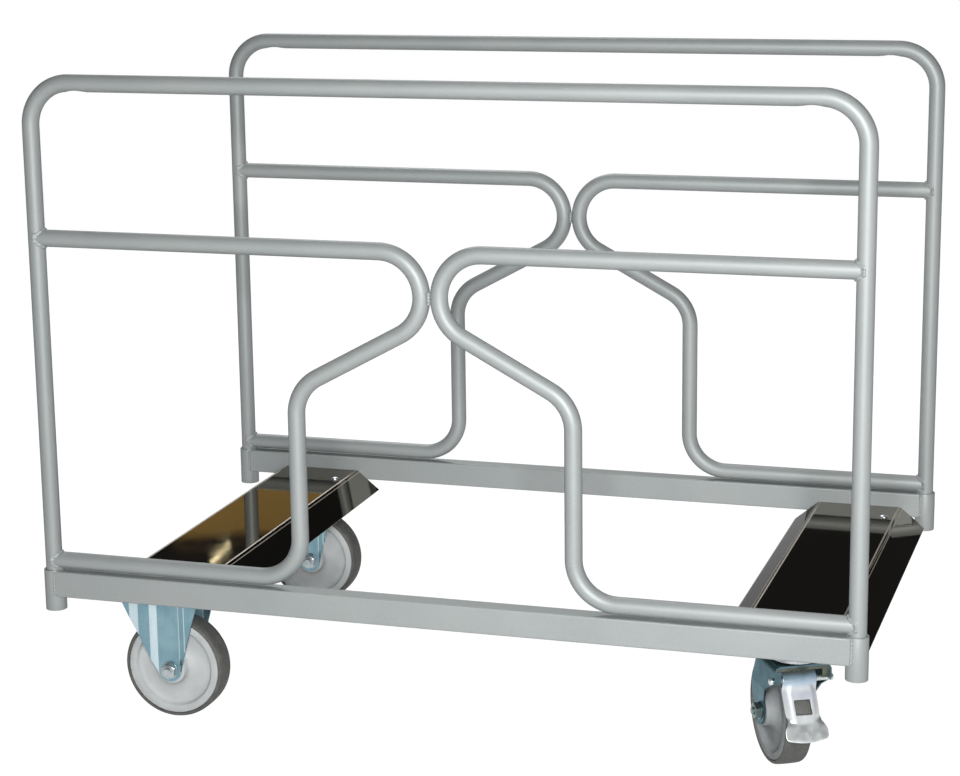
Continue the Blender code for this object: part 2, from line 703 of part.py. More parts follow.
def swivel_fork_front():
    """The swivel fork's front wall seen along the rolling direction: an arch round the pedal's top."""
    top = CROWN_TOP_Z - FORK_SHEET / 2
    low = PIN_Z - FORK_NOSE + FORK_SHEET / 2
    outer = rounded([(-FORK_WIDE, low), (-FORK_WIDE, top), (FORK_WIDE, top), (FORK_WIDE, low)], CROWN_BEND_R)
    gap = PEDAL_TOP_W / 2 + FRONT_WALL_GAP
    lip = CROWN_TOP_Z - FRONT_LIP
    return outer + [(gap, low), (gap, lip), (-gap, lip), (-gap, low)]


def make_swivel_head(name, centre, carrier):
    """The swivel: a race cup under the plate, a cone on the fork's crown and the kingpin through both."""
    plate = make_plate(name, centre)
    kingpin_r = KINGPIN_DIA / 2
    combine(plate, rod_mesh(KINGPIN_HOLE_R, 0, RAIL_TOP_Z, "Z"), "DIFFERENCE", (*centre, 0))
    turned_hole = bore(kingpin_r + RUNNING_GAP, RING_STEPS)
    cup_top = PLATE_LOW_Z - SEAT_GAP
    race_r = RACE_DIA / 2
    cup = [
        (turned_hole, cup_top),
        (race_r - RACE_WALL, cup_top),
        (race_r, cup_top - RACE_WALL),
        (race_r, cup_top - RACE_WALL - RACE_SKIRT_H),
        (race_r - RACE_WALL, cup_top - RACE_WALL - RACE_SKIRT_H),
        (race_r - RACE_WALL, cup_top - RACE_WALL),
        (turned_hole, cup_top - RACE_WALL),
    ]
    part(f"{name}_race_cup", turned_mesh(cup, RING_STEPS), ZINC, None, (*centre, 0))
    cone_low = CROWN_TOP_Z + SEAT_GAP
    cone_top = cup_top - RACE_WALL - RUNNING_GAP
    cone_r = CONE_DIA / 2
    cone = [
        (turned_hole, cone_top),
        (cone_r - RACE_WALL, cone_top),
        (cone_r, cone_top - RACE_WALL),
        (cone_r, cone_low + RACE_WALL),
        (cone_r - 2 * RACE_WALL, cone_low),
        (turned_hole, cone_low),
    ]
    part(f"{name}_race_cone", turned_mesh(cone, RING_STEPS), ZINC, carrier)
    head_top = CROWN_TOP_Z - FORK_SHEET - SEAT_GAP
    head_r = KINGPIN_HEAD_DIA / 2
    kingpin = [
        (0, PLATE_TOP_Z - SEAT_GAP),
        (kingpin_r, PLATE_TOP_Z - SEAT_GAP),
        (kingpin_r, head_top),
        (head_r, head_top),
        (head_r, head_top - KINGPIN_HEAD_H),
        (0, head_top - KINGPIN_HEAD_H),
    ]
    part(f"{name}_kingpin", turned_mesh(kingpin, HOLE_STEPS), BRIGHT_STEEL, carrier)


def make_swivel_caster(name, centre, heading_deg):
    """A braked swivel caster, with its pieces drawn on U (the pedal's side), V and Z."""
    carrier = place_empty(f"{name}_swivel", (*centre, 0), math.radians(heading_deg))
    make_swivel_head(name, centre, carrier)
    side = prism_mesh(swivel_fork_outline(), -FORK_CROWN_W, FORK_CROWN_W, "Y")
    fork = part(f"{name}_fork", side, ZINC, carrier)
    reach = TRAIL + WHEEL_DIA
    combine(fork, prism_mesh(swivel_fork_section(), -reach, reach, "X"), "INTERSECT")
    wall_front = PIN_U + FORK_NOSE - FORK_SHEET / 4
    combine(fork, prism_mesh(swivel_fork_front(), wall_front - FORK_SHEET, wall_front, "X"), "UNION")
    combine(fork, rod_mesh(AXLE_HOLE_R, -LEG_Y, LEG_Y, "Y"), "DIFFERENCE", (-TRAIL, 0, AXLE_Z))
    combine(fork, rod_mesh(PIN_HOLE_R, -LEG_Y, LEG_Y, "Y"), "DIFFERENCE", (PIN_U, 0, PIN_Z))
    combine(fork, rod_mesh(KINGPIN_HOLE_R, AXLE_Z, RAIL_TOP_Z, "Z"), "DIFFERENCE")
    make_wheel(name, carrier, -TRAIL)
    make_brake(name, carrier)


def make_brake(name, carrier):
    """The brake pedal, its pivot pin and the shoe that bears on the tyre; drawn about the pin."""
    pivot = place_empty(f"{name}_pedal_pivot", (PIN_U, 0, PIN_Z), 0, carrier)
    pin_r, head_r = PIN_DIA / 2, PIN_HEAD_DIA / 2
    seat = FORK_CROWN_W / 2 + SEAT_GAP
    end = seat + PIN_HEAD_H
    pin = [
        (0, end), (head_r, end), (head_r, seat), (pin_r, seat),
        (pin_r, -seat), (head_r, -seat), (head_r, -end), (0, -end),
    ]
    pin_mesh = turned_mesh(pin, HOLE_STEPS)
    pin_mesh.transform(Matrix.Rotation(-math.pi / 2, 4, "X"))
    part(f"{name}_pedal_pin", pin_mesh, BRIGHT_STEEL, pivot)

    curl = arc((0, 0), PEDAL_CURL_R + PEDAL_SHEET / 2, math.pi * 0.75, 0, SMALL_STEP)
    path = curl + [(PEDAL_SHANK_U, PEDAL_SHANK_Z), (PEDAL_TIP_U, PEDAL_TIP_Z)]
    pedal_mesh = prism_mesh(band(path, PEDAL_SHEET), -PEDAL_TIP_W, PEDAL_TIP_W, "Y")
    pedal = part(f"{name}_pedal", pedal_mesh, BRIGHT_STEEL, pivot)
    top_z = 2 * PEDAL_CURL_R
    tip_low = PEDAL_TIP_Z - PEDAL_SHEET
    tip_corner = (PEDAL_TIP_W - PEDAL_WAIST_W) / 2
    face = mirrored([
        (0, tip_low),
        (PEDAL_TIP_W / 2 - tip_corner, tip_low),
        (PEDAL_TIP_W / 2, tip_low + tip_corner),
        (PEDAL_TIP_W / 2, tip_low + 2 * tip_corner),
        (PEDAL_WAIST_W / 2, PEDAL_SHANK_Z + tip_corner / 2),
        (PEDAL_WAIST_W / 2, WINDOW_TOP_Z),
        (PEDAL_TOP_W / 2, -PEDAL_CURL_R),
        (PEDAL_TOP_W / 2, top_z),
        (0, top_z),
    ])
    combine(pedal, prism_mesh(face, -WHEEL_DIA, WHEEL_DIA, "X"), "INTERSECT")
    window = [
        (-WINDOW_W / 2, WINDOW_LOW_Z), (WINDOW_W / 2, WINDOW_LOW_Z),
        (WINDOW_W / 2, WINDOW_TOP_Z), (-WINDOW_W / 2, WINDOW_TOP_Z),
    ]
    combine(pedal, prism_mesh(window, 0, WHEEL_DIA, "X"), "DIFFERENCE")
    ear_outer = PEDAL_TOP_W / 2 - SEAT_GAP
    ear_r = PEDAL_CURL_R + PEDAL_SHEET / 2
    shank = Vector((PEDAL_SHANK_U, PEDAL_SHANK_Z)) * 0.5
    ear = arc((0, 0), ear_r, math.pi * 0.75, math.pi * 1.25) + [(shank.x, shank.y), (ear_r, 0)]
    ear += arc((0, 0), ear_r, 0, math.pi * 0.75)[1:-1]
    for low, high in ((-ear_outer, PEDAL_SHEET - ear_outer), (ear_outer - PEDAL_SHEET, ear_outer)):
        combine(pedal, prism_mesh(ear, low, high, "Y"), "UNION")
    combine(pedal, rod_mesh(PEDAL_HOLE_R, -LEG_Y, LEG_Y, "Y"), "DIFFERENCE")

    wheel_from_pin = Vector((-TRAIL - PIN_U, AXLE_Z - PIN_Z))
    reach = wheel_from_pin.length - TREAD_R - RUNNING_GAP
    toward = wheel_from_pin.normalized()
    across = Vector((-toward.y, toward.x)) * SHOE_T / 2
    tip = toward * reach
    shoe_r = PEDAL_CURL_R - RUNNING_GAP
    start = math.atan2(across.y, across.x)
    shoe = arc((0, 0), shoe_r, start - math.pi, start)
    shoe += [tuple(tip + across * 0.5), tuple(tip - across * 0.5)]
    shoe_mesh = prism_mesh(shoe, -SHOE_WIDTH / 2, SHOE_WIDTH / 2, "Y")
    brake_shoe = part(f"{name}_brake_shoe", shoe_mesh, ZINC, pivot)
    combine(brake_shoe, rod_mesh(PEDAL_HOLE_R, -LEG_Y, LEG_Y, "Y"), "DIFFERENCE")


make_side_frame("front", -LEG_Y)
make_side_frame("rear", LEG_Y)
make_rail("front", -LEG_Y)
make_rail("rear", LEG_Y)
make_sockets()

swivel_x = SWIVEL_TRAY_X + SWIVEL_SHIFT_X
make_tray("left", FIXED_TRAY_X, FIXED_TRAY_X)
make_tray("right", SWIVEL_TRAY_X, swivel_x)
make_fixed_caster("front_left", (FIXED_TRAY_X, -CASTER_Y))
make_fixed_caster("rear_left", (FIXED_TRAY_X, CASTER_Y))
make_swivel_caster("front_right", (swivel_x, -CASTER_Y), -SWIVEL_HEADING_DEG)
make_swivel_caster("rear_right", (swivel_x, CASTER_Y), SWIVEL_HEADING_DEG)
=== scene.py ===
# %% [markdown]
# # A table cart
#
# The cart carries folding tables that stand on edge. Two bent-tube side frames stand in the sockets of a
# low base, and the base rolls on two fixed and two braked swivel casters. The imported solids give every
# size and every joint. This notebook makes the surfaces that are seen: smooth bends, weld beads, pressed
# forks, turned wheels and the paint, plating, plastic and rubber that they are finished in.

import json
import math

import bmesh
import bpy
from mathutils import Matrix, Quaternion, Vector


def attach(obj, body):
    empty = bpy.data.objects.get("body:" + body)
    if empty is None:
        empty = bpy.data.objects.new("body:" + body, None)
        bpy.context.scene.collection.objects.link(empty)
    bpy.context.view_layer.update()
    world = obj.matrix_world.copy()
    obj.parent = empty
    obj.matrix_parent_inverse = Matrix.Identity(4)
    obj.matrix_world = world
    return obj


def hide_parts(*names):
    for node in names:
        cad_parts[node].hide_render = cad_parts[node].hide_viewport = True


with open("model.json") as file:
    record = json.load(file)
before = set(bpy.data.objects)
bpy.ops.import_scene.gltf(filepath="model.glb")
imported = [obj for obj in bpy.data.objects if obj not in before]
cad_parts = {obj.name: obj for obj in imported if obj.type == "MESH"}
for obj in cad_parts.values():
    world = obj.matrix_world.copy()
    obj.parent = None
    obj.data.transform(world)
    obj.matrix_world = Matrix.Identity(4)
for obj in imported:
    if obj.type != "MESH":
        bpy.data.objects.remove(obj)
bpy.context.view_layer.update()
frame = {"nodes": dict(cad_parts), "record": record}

# %% [markdown]
# ## The camera
#
# The photograph was taken from the front right, from a little above the hoops and from about three and a
# half metres away. A camera could be turned by hand until it looks right, but here it was solved from the
# cart's square corners, so it is placed with numbers. Its axes are built from a yaw, a pitch and a small
# roll.

# %% Camera
FRAME_WIDTH_PX = 960
FOCAL_PX = 2373.4
CAMERA_PLACE = (1.0381, -3.4741, 1.3019)
CAMERA_YAW = math.radians(17.358)
CAMERA_PITCH = math.radians(12.842)
CAMERA_ROLL = math.radians(-0.74)
SENSOR_MM = 36.0

level = Vector((math.cos(CAMERA_YAW), math.sin(CAMERA_YAW), 0))
ahead = Vector((-math.sin(CAMERA_YAW), math.cos(CAMERA_YAW), 0)) * math.cos(CAMERA_PITCH)
ahead.z = -math.sin(CAMERA_PITCH)
upward = level.cross(ahead)
camera_right = level * math.cos(CAMERA_ROLL) + upward * math.sin(CAMERA_ROLL)
camera_up = upward * math.cos(CAMERA_ROLL) - level * math.sin(CAMERA_ROLL)

bpy.ops.object.select_all(action="DESELECT")
bpy.ops.object.camera_add(location=CAMERA_PLACE)
camera = bpy.context.object
camera.name = "photo_camera"
turn = camera.matrix_world.to_3x3()
for row in range(3):
    turn[row][0] = camera_right[row]
    turn[row][1] = camera_up[row]
    turn[row][2] = -ahead[row]
camera.rotation_euler = turn.to_euler()
camera.data.sensor_width = SENSOR_MM
camera.data.lens = FOCAL_PX / FRAME_WIDTH_PX * SENSOR_MM
bpy.context.scene.camera = camera
bpy.context.scene.view_settings.view_transform = "Standard"
print("camera lens:", round(camera.data.lens, 2), "mm")

# %% [markdown]
# ## Bench helpers
#
# Everything below is modelled the way it is done by hand: add a primitive, select some of it, extrude,
# spin or bevel, and apply a modifier. These helpers hold the steps that come back again and again. An
# operator works on all that is selected, so each one starts by putting everything down.

# %% Selecting
def set_down():
    """Leave edit mode and deselect every object."""
    if bpy.context.mode != "OBJECT":
        bpy.ops.object.mode_set(mode="OBJECT")
    bpy.ops.object.select_all(action="DESELECT")


def take_up(piece):
    """Make one object the only selected one."""
    set_down()
    piece.select_set(True)
    bpy.context.view_layer.objects.active = piece


def edit_all(piece):
    """Open a piece in edit mode with all of it selected."""
    take_up(piece)
    bpy.ops.object.mode_set(mode="EDIT")
    bpy.ops.mesh.select_mode(type="VERT")
    bpy.ops.mesh.select_all(action="SELECT")


def choose(kind, test):
    """In edit mode, select only the verts, edges or faces that pass a test of (middle, element)."""
    bpy.ops.mesh.select_mode(type={"verts": "VERT", "edges": "EDGE", "faces": "FACE"}[kind])
    bpy.ops.mesh.select_all(action="DESELECT")
    edit = bmesh.from_edit_mesh(bpy.context.object.data)
    edit.verts.index_update()
    for element in getattr(edit, kind):
        corners = [element] if kind == "verts" else element.verts
        middle = sum((v.co for v in corners), Vector()) / len(corners)
        if test(middle, element):
            element.select_set(True)
    edit.select_flush_mode()
    bmesh.update_edit_mesh(bpy.context.object.data)


# %% Making and joining
def apply_modifier(piece, kind, **settings):
    """Add a modifier with these settings and apply it."""
    take_up(piece)
    modifier = piece.modifiers.new(kind.lower(), kind)
    for name, value in settings.items():
        setattr(modifier, name, value)
    bpy.ops.object.modifier_apply(modifier=modifier.name)


def carve(piece, tool, operation="DIFFERENCE"):
    """Cut, join or intersect a piece with a tool object, which is then thrown away."""
    apply_modifier(piece, "BOOLEAN", operation=operation, object=tool, solver="EXACT")
    bpy.data.objects.remove(tool, do_unlink=True)


def soften(piece, width, segments=2, angle=40):
    """Round a piece's sharp edges a little."""
    apply_modifier(
        piece, "BEVEL", width=width, segments=segments, limit_method="ANGLE", angle_limit=math.radians(angle)
    )


def close_shell(piece):
    """Merge doubled points and turn the faces outwards."""
    edit_all(piece)
    bpy.ops.mesh.remove_doubles(threshold=1e-6)
    bpy.ops.mesh.normals_make_consistent(inside=False)
    set_down()


def settle(piece):
    """Put an object's place and turn into its mesh."""
    take_up(piece)
    bpy.ops.object.transform_apply(location=True, rotation=True, scale=True)


def join(first, *others):
    """Join objects into the first one."""
    take_up(first)
    for other in others:
        other.select_set(True)
    bpy.ops.object.join()
    return first


def copy_to(master, place, heading=0.0):
    """A copy of a master with its own mesh, turned about Z and moved to its place."""
    take_up(master)
    bpy.ops.object.duplicate()
    twin = bpy.context.object
    twin.location = place
    twin.rotation_euler = (0, 0, heading)
    settle(twin)
    return twin


def hand_over(piece, name, finish, body, *nodes, angle=35, flats=False):
    """Name a finished piece, smooth it, paint it and let it ride its body in place of its solids."""
    piece.name = name
    piece.data.name = name
    take_up(piece)
    bpy.ops.object.shade_smooth_by_angle(angle=math.radians(angle))
    if flats:
        apply_modifier(piece, "WEIGHTED_NORMAL", mode="FACE_AREA", weight=100, keep_sharp=True)
    piece.data.materials.clear()
    piece.data.materials.append(finish)
    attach(piece, body)
    slot_of(finish)
    if nodes:
        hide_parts(*nodes)
    set_down()


def hand_copy(master, place, heading, name, title, finish, body, *nodes, **ways):
    """Hand over a copy of a caster's master. Its title and nodes start with the caster's name."""
    twin = copy_to(master, place, heading)
    hand_over(twin, f"{name}_{title}", finish, body, *[f"{name}_{node}" for node in nodes], **ways)


# %% Wires, prisms and turned shapes
def arc(centre, radius, start, end, step):
    """Points of a flat arc, both ends included."""
    count = max(1, math.ceil(abs(end - start) / step - 1e-6))
    angles = [start + (end - start) * i / count for i in range(count + 1)]
    return [(centre[0] + radius * math.cos(a), centre[1] + radius * math.sin(a)) for a in angles]


def rounded(points, radius, step=math.radians(8), closed=False):
    """A flat path with an arc of one radius at each corner."""
    ring = [Vector(p) for p in points]
    corners = range(len(ring)) if closed else range(1, len(ring) - 1)
    path = [] if closed else [tuple(ring[0])]
    for i in corners:
        corner = ring[i]
        inward = (corner - ring[i - 1]).normalized()
        outward = (ring[(i + 1) % len(ring)] - corner).normalized()
        swing = -inward.angle_signed(outward)
        size = radius[i] if isinstance(radius, (list, tuple)) else radius
        if abs(swing) < 1e-4 or size < 1e-6:
            path.append(tuple(corner))
            continue
        start = corner - inward * size * math.tan(abs(swing) / 2)
        centre = start + Vector((-inward.y, inward.x)) * math.copysign(size, swing)
        first = math.atan2(start.y - centre.y, start.x - centre.x)
        path += arc(centre, size, first, first + swing, step)
    return path if closed else path + [tuple(ring[-1])]


def wire(points, closed=True):
    """A chain of edges through the points, made from a circle with as many corners, open in edit mode."""
    set_down()
    bpy.ops.mesh.primitive_circle_add(vertices=len(points), radius=1, location=(0, 0, 0))
    made = bpy.context.object
    for vertex, place in zip(made.data.vertices, points):
        vertex.co = place
    bpy.ops.object.mode_set(mode="EDIT")
    if not closed:
        last = len(points) - 1
        choose("edges", lambda middle, edge: {v.index for v in edge.verts} == {0, last})
        bpy.ops.mesh.delete(type="EDGE")
    bpy.ops.mesh.select_mode(type="VERT")
    bpy.ops.mesh.select_all(action="SELECT")
    return made


def prism(points, travel):
    """A filled outline pushed along a straight line into a solid."""
    made = wire(points)
    bpy.ops.mesh.edge_face_add()
    bpy.ops.mesh.extrude_region_move(TRANSFORM_OT_translate={"value": travel})
    close_shell(made)
    return made


def pressed_sheet(points, travel, thickness):
    """An open wire pushed along a straight line into a sheet, which is then given its thickness."""
    made = wire(points, closed=False)
    bpy.ops.mesh.extrude_region_move(TRANSFORM_OT_translate={"value": travel})
    close_shell(made)
    apply_modifier(made, "SOLIDIFY", thickness=thickness, offset=0, use_even_offset=True)
    close_shell(made)
    return made


def turned(profile, steps=64):
    """A shape turned about Z from a profile of (radius, height)."""
    on_axis = profile[0][0] < 1e-6
    made = wire([(r, 0, h) for r, h in profile], closed=not on_axis)
    bpy.ops.mesh.spin(steps=steps, angle=math.tau, center=(0, 0, 0), axis=(0, 0, 1))
    close_shell(made)
    return made


def rod(radius, low, high, place=(0, 0, 0), along="Z", sides=48):
    """A plain rod along an axis through a place, used as a cutting tool."""
    set_down()
    turns = {"X": (0, math.pi / 2, 0), "Y": (math.pi / 2, 0, 0), "Z": (0, 0, 0)}
    way = {"X": Vector((1, 0, 0)), "Y": Vector((0, 1, 0)), "Z": Vector((0, 0, 1))}[along]
    middle = Vector(place) + way * (low + high) / 2
    bpy.ops.mesh.primitive_cylinder_add(
        vertices=sides, radius=radius, depth=high - low, location=middle, rotation=turns[along]
    )
    made = bpy.context.object
    settle(made)
    return made


print("bench ready")

# %% [markdown]
# ## Finishes
#
# Each finish is a node material on Object coordinates, so that the pattern stays with the piece. Silver
# paint has fine flakes and a slight orange peel. The trays are a dark sheet that mirrors like black glass,
# with painted highlights along its fold lines and painted shade dimming the reflections of its left
# flanges. The forks are zinc plate, with painted highlights along the fixed forks' fold lines, the pedals,
# nuts and pins bright plate, with painted light by height on the pedals, and the wheels moulded nylon with
# a rubber tyre. Parts of the swivel casters take darker copies of the zinc, steel and nylon finishes as
# painted shade. A plain colour would be quicker, but real surfaces vary, so colour and roughness come from
# noise.

# %% Finish helpers
FINISH_ENDING = "_finish"


def slot_of(finish):
    """The record's material slot that a finish is for."""
    return finish.name.split(FINISH_ENDING)[0]


def feed(value, node, name):
    """Link a socket to a node's input, in the node tree that both are in."""
    value.id_data.links.new(value, node.inputs[name])


def new_finish(slot, roughness, metallic, variety=""):
    """A Principled material for a slot, or a variety of it, with its shader and its Object coordinates."""
    made = bpy.data.materials.new(slot + FINISH_ENDING + variety)
    made.use_nodes = True
    shader = made.node_tree.nodes["Principled BSDF"]
    shader.inputs["Roughness"].default_value = roughness
    shader.inputs["Metallic"].default_value = metallic
    place = made.node_tree.nodes.new("ShaderNodeTexCoord")
    return made, shader, place.outputs["Object"]


def axis_of(where, name):
    """One axis of a set of coordinates."""
    made = where.id_data.nodes.new("ShaderNodeSeparateXYZ")
    feed(where, made, "Vector")
    return made.outputs[name]


def noise(where, scale, detail=2.0, roughness=0.5, stretch=None):
    """Noise of one scale, stretched along the axes where asked."""
    nodes = where.id_data.nodes
    made = nodes.new("ShaderNodeTexNoise")
    made.inputs["Scale"].default_value = scale
    made.inputs["Detail"].default_value = detail
    made.inputs["Roughness"].default_value = roughness
    if stretch:
        mapping = nodes.new("ShaderNodeMapping")
        mapping.inputs["Scale"].default_value = stretch
        feed(where, mapping, "Vector")
        where = mapping.outputs["Vector"]
    feed(where, made, "Vector")
    return made.outputs["Fac"]


def colours(value, stops):
    """A ramp from value to colour."""
    made = value.id_data.nodes.new("ShaderNodeValToRGB")
    ramp = made.color_ramp
    while len(ramp.elements) < len(stops):
        ramp.elements.new(0.5)
    for element, (position, colour) in zip(ramp.elements, stops):
        element.position = position
        element.color = (*colour, 1)
    feed(value, made, "Fac")
    return made.outputs["Color"]


def spread(value, low, high, start=0.3, end=0.7):
    """A value stretched to a new range."""
    made = value.id_data.nodes.new("ShaderNodeMapRange")
    limits = {"From Min": start, "From Max": end, "To Min": low, "To Max": high}
    for name, limit in limits.items():
        made.inputs[name].default_value = limit
    feed(value, made, "Value")
    return made.outputs["Result"]


def relief(shader, height, strength, depth):
    """A bump of a given depth in metres."""
    made = height.id_data.nodes.new("ShaderNodeBump")
    made.inputs["Strength"].default_value = strength
    made.inputs["Distance"].default_value = depth
    feed(height, made, "Height")
    feed(made.outputs["Normal"], shader, "Normal")


def blend_colours(factor, first, second):
    """Two colours mixed by a factor. The factor may be a plain number, and the second one a plain colour."""
    made = first.id_data.nodes.new("ShaderNodeMix")
    made.data_type = "RGBA"
    made.factor_mode = "UNIFORM"
    factor_in = [s for s in made.inputs if s.name == "Factor" and s.type == "VALUE"][0]
    first_in, second_in = [s for s in made.inputs if s.type == "RGBA"]
    for value, socket in ((factor, factor_in), (first, first_in), (second, second_in)):
        if isinstance(value, float):
            socket.default_value = value
        elif isinstance(value, tuple):
            socket.default_value = (*value, 1)
        else:
            first.id_data.links.new(value, socket)
    return [s for s in made.outputs if s.type == "RGBA"][0]


def reckon(operation, first, second, third=0.5):
    """One step of arithmetic on a socket. The other two values are numbers or sockets."""
    made = first.id_data.nodes.new("ShaderNodeMath")
    made.operation = operation
    for socket, value in zip(made.inputs, (first, second, third)):
        if isinstance(value, float):
            socket.default_value = value
        else:
            first.id_data.links.new(value, socket)
    return made.outputs["Value"]


def near_any(value, bands):
    """One where a value lies within any band, each given by its middle and its half width, and else zero."""
    inside = 0.0
    for middle, half in bands:
        inside = reckon("MAXIMUM", reckon("COMPARE", value, middle, half), inside)
    return inside


# %% Silver paint
def make_silver_paint():
    """Silver-grey satin paint: fine flakes, slow changes of tone and a slight orange peel."""
    made, shader, where = new_finish("silver_paint", 0.55, 0.32)
    flakes = noise(where, 1400, 1.0)
    tone = noise(where, 7, 3.0)
    fine = colours(flakes, [(0.35, (0.31, 0.335, 0.335)), (0.68, (0.42, 0.445, 0.445))])
    slow = colours(tone, [(0.35, (0.335, 0.36, 0.36)), (0.65, (0.385, 0.405, 0.40))])
    feed(blend_colours(0.45, slow, fine), shader, "Base Color")
    shader.inputs["Specular IOR Level"].default_value = 0.12
    shader.inputs["Specular Tint"].default_value = (0.2, 0.2, 0.2, 1)
    feed(spread(tone, 0.50, 0.58), shader, "Roughness")
    peel = noise(where, 420, 1.0)
    relief(shader, peel, 0.12, 0.0004)
    return made


silver_paint = make_silver_paint()


# %% Dark mirror sheet of the trays
TRAY_TOP_Z = 0.2217
TRAY_FLAT = 0.137
TRAY_REACH = 0.040
TRAYS = (("left", -0.461), ("right", 0.500))
# Painted highlights: thin pale lines along each tray fold, given as inset from the fold and half width.
FOLD_HIGHLIGHT_LINES = ((-0.0028, 0.0013), (0.0033, 0.0006))
FLANGE_MARGIN = 0.002


def make_bronze_gloss():
    """A dark sheet polished to a mirror that waves a little, with painted highlights along its fold lines
    and painted shade on the reflections of its left flanges.
    """
    made, shader, where = new_finish("bronze_gloss", 0.06, 1.0)
    across = axis_of(where, "X")
    cloud = noise(where, 2.6, 2.0, 0.45, (1.0, 0.6, 1.0))
    depth = colours(cloud, [(0.35, (0.17, 0.162, 0.142)), (0.65, (0.24, 0.228, 0.20))])
    lines = []
    shaded_left_flanges = []
    for _, tray_x in TRAYS:
        shaded_left_flanges.append((tray_x - TRAY_FLAT / 2 - TRAY_REACH / 2, TRAY_REACH / 2 - FLANGE_MARGIN))
        for sign in (-1, 1):
            lines += [(tray_x + sign * (TRAY_FLAT / 2 + inset), half) for inset, half in FOLD_HIGHLIGHT_LINES]
    # Painted highlight: on these lines the base colour turns pale and the sheet less metallic and rougher.
    fold_highlights = near_any(across, lines)
    feed(blend_colours(fold_highlights, depth, (0.44, 0.40, 0.34)), shader, "Base Color")
    # Painted shade: the reflections of the left flanges are dimmed by a dark specular tint.
    flange_shade = near_any(across, shaded_left_flanges)
    flange_shade_tint = colours(flange_shade, [(0.0, (0.9, 0.88, 0.85)), (1.0, (0.12, 0.12, 0.12))])
    feed(flange_shade_tint, shader, "Specular Tint")
    smear = noise(where, 22, 3.0)
    gloss = reckon("MAXIMUM", spread(smear, 0.03, 0.06), reckon("MULTIPLY", fold_highlights, 0.42))
    feed(gloss, shader, "Roughness")
    feed(reckon("MULTIPLY_ADD", fold_highlights, -0.6, 1.0), shader, "Metallic")
    wave = noise(where, 9, 1.0)
    relief(shader, wave, 0.03, 0.004)
    return made


bronze_gloss = make_bronze_gloss()


# %% Zinc plate
AXLE_X = -0.4485
# Painted highlight bands on the fixed forks: wide on the left fold lines, thin lines on the right.
FOLD_HIGHLIGHT_BANDS = ((-0.05325, 0.0065), (-0.0230, 0.0053), (0.0178, 0.0008), (0.0287, 0.0008))
BLUE_TINTS = ((0.17, 0.30, 0.36), (0.20, 0.34, 0.40), (0.25, 0.39, 0.44))


def make_zinc_plate(variety, deep, middle, pale, bands=(), metallic=0.85):
    """Zinc plating that varies between three tints, with fine grain from the press and, where bands are
    given, painted highlights along the fold lines.
    """
    made, shader, where = new_finish("zinc_plate", 0.3, metallic, variety)
    shader.inputs["Specular Tint"].default_value = (0.55, 0.68, 0.74, 1)
    cloud = noise(where, 26, 3.0)
    tint = colours(cloud, [(0.32, deep), (0.5, middle), (0.68, pale)])
    if bands:
        # Painted highlight: pale plating colour on the bands along the fold lines.
        fold_highlights = near_any(axis_of(where, "X"), [(AXLE_X + offset, half) for offset, half in bands])
        tint = blend_colours(fold_highlights, tint, (0.52, 0.63, 0.67))
    feed(tint, shader, "Base Color")
    streak = noise(where, 320, 2.0, 0.6, (1, 1, 0.08))
    feed(spread(streak, 0.24, 0.36), shader, "Roughness")
    relief(shader, streak, 0.05, 0.0003)
    return made


zinc_plate = make_zinc_plate("", *BLUE_TINTS)
fold_highlit_zinc = make_zinc_plate("_folded", *BLUE_TINTS, bands=FOLD_HIGHLIGHT_BANDS)
# Painted shade: a darker copy of the blue zinc plate for the swivel forks and brake shoes.
shade_darkened_zinc = make_zinc_plate("_dark", (0.055, 0.09, 0.095), (0.078, 0.128, 0.145), (0.11, 0.18, 0.215))
# Olive zinc plate, darkened as painted shade for the swivel cone and fork front under the rail.
shade_darkened_olive_zinc = make_zinc_plate("_olive", (0.035, 0.042, 0.034), (0.06, 0.07, 0.055), (0.13, 0.14, 0.11))
pale_zinc = make_zinc_plate(
    "_pale", (0.48, 0.49, 0.51), (0.54, 0.55, 0.57), (0.62, 0.63, 0.65), metallic=0.25
)


# %% Bright plate
# Painted light by height up the pedal: a painted highlight under the curl and a blue painted reflection on
# the curl.
PEDAL_PAINTED_LIGHT = [
    (0.0, (0.74, 0.77, 0.77)), (0.45, (0.64, 0.67, 0.68)), (0.70, (0.55, 0.57, 0.65)),
    (0.77, (0.70, 0.73, 0.76)), (0.82, (0.52, 0.61, 0.70)), (0.88, (0.30, 0.42, 0.54)),
    (0.96, (0.33, 0.45, 0.54)), (1.0, (0.55, 0.64, 0.58)),
]


def make_bright_steel(variety, dull, bright):
    """Plated steel between two tints, with soft handling marks."""
    made, shader, where = new_finish("bright_steel", 0.32, 0.9, variety)
    cloud = noise(where, 60, 3.0)
    feed(colours(cloud, [(0.3, dull), (0.7, bright)]), shader, "Base Color")
    marks = noise(where, 190, 3.0, 0.6)
    feed(spread(marks, 0.26, 0.38), shader, "Roughness")
    relief(shader, marks, 0.06, 0.0003)
    return made


def make_pedal_steel():
    """The pedal's plate, coloured by height from its toe up with painted light: grey, faintly violet, a
    painted highlight under the curl and a blue painted reflection on the curl.
    """
    made, shader, where = new_finish("bright_steel", 0.36, 0.85, "_pedal")
    rise = spread(axis_of(where, "Z"), 0.0, 1.0, 0.070, 0.165)
    tint = colours(rise, PEDAL_PAINTED_LIGHT)
    smudge = noise(where, 90, 3.0)
    grey = colours(smudge, [(0.3, (0.44, 0.47, 0.49)), (0.7, (0.64, 0.67, 0.68))])
    feed(blend_colours(0.2, tint, grey), shader, "Base Color")
    feed(spread(smudge, 0.32, 0.42), shader, "Roughness")
    relief(shader, smudge, 0.05, 0.0004)
    return made


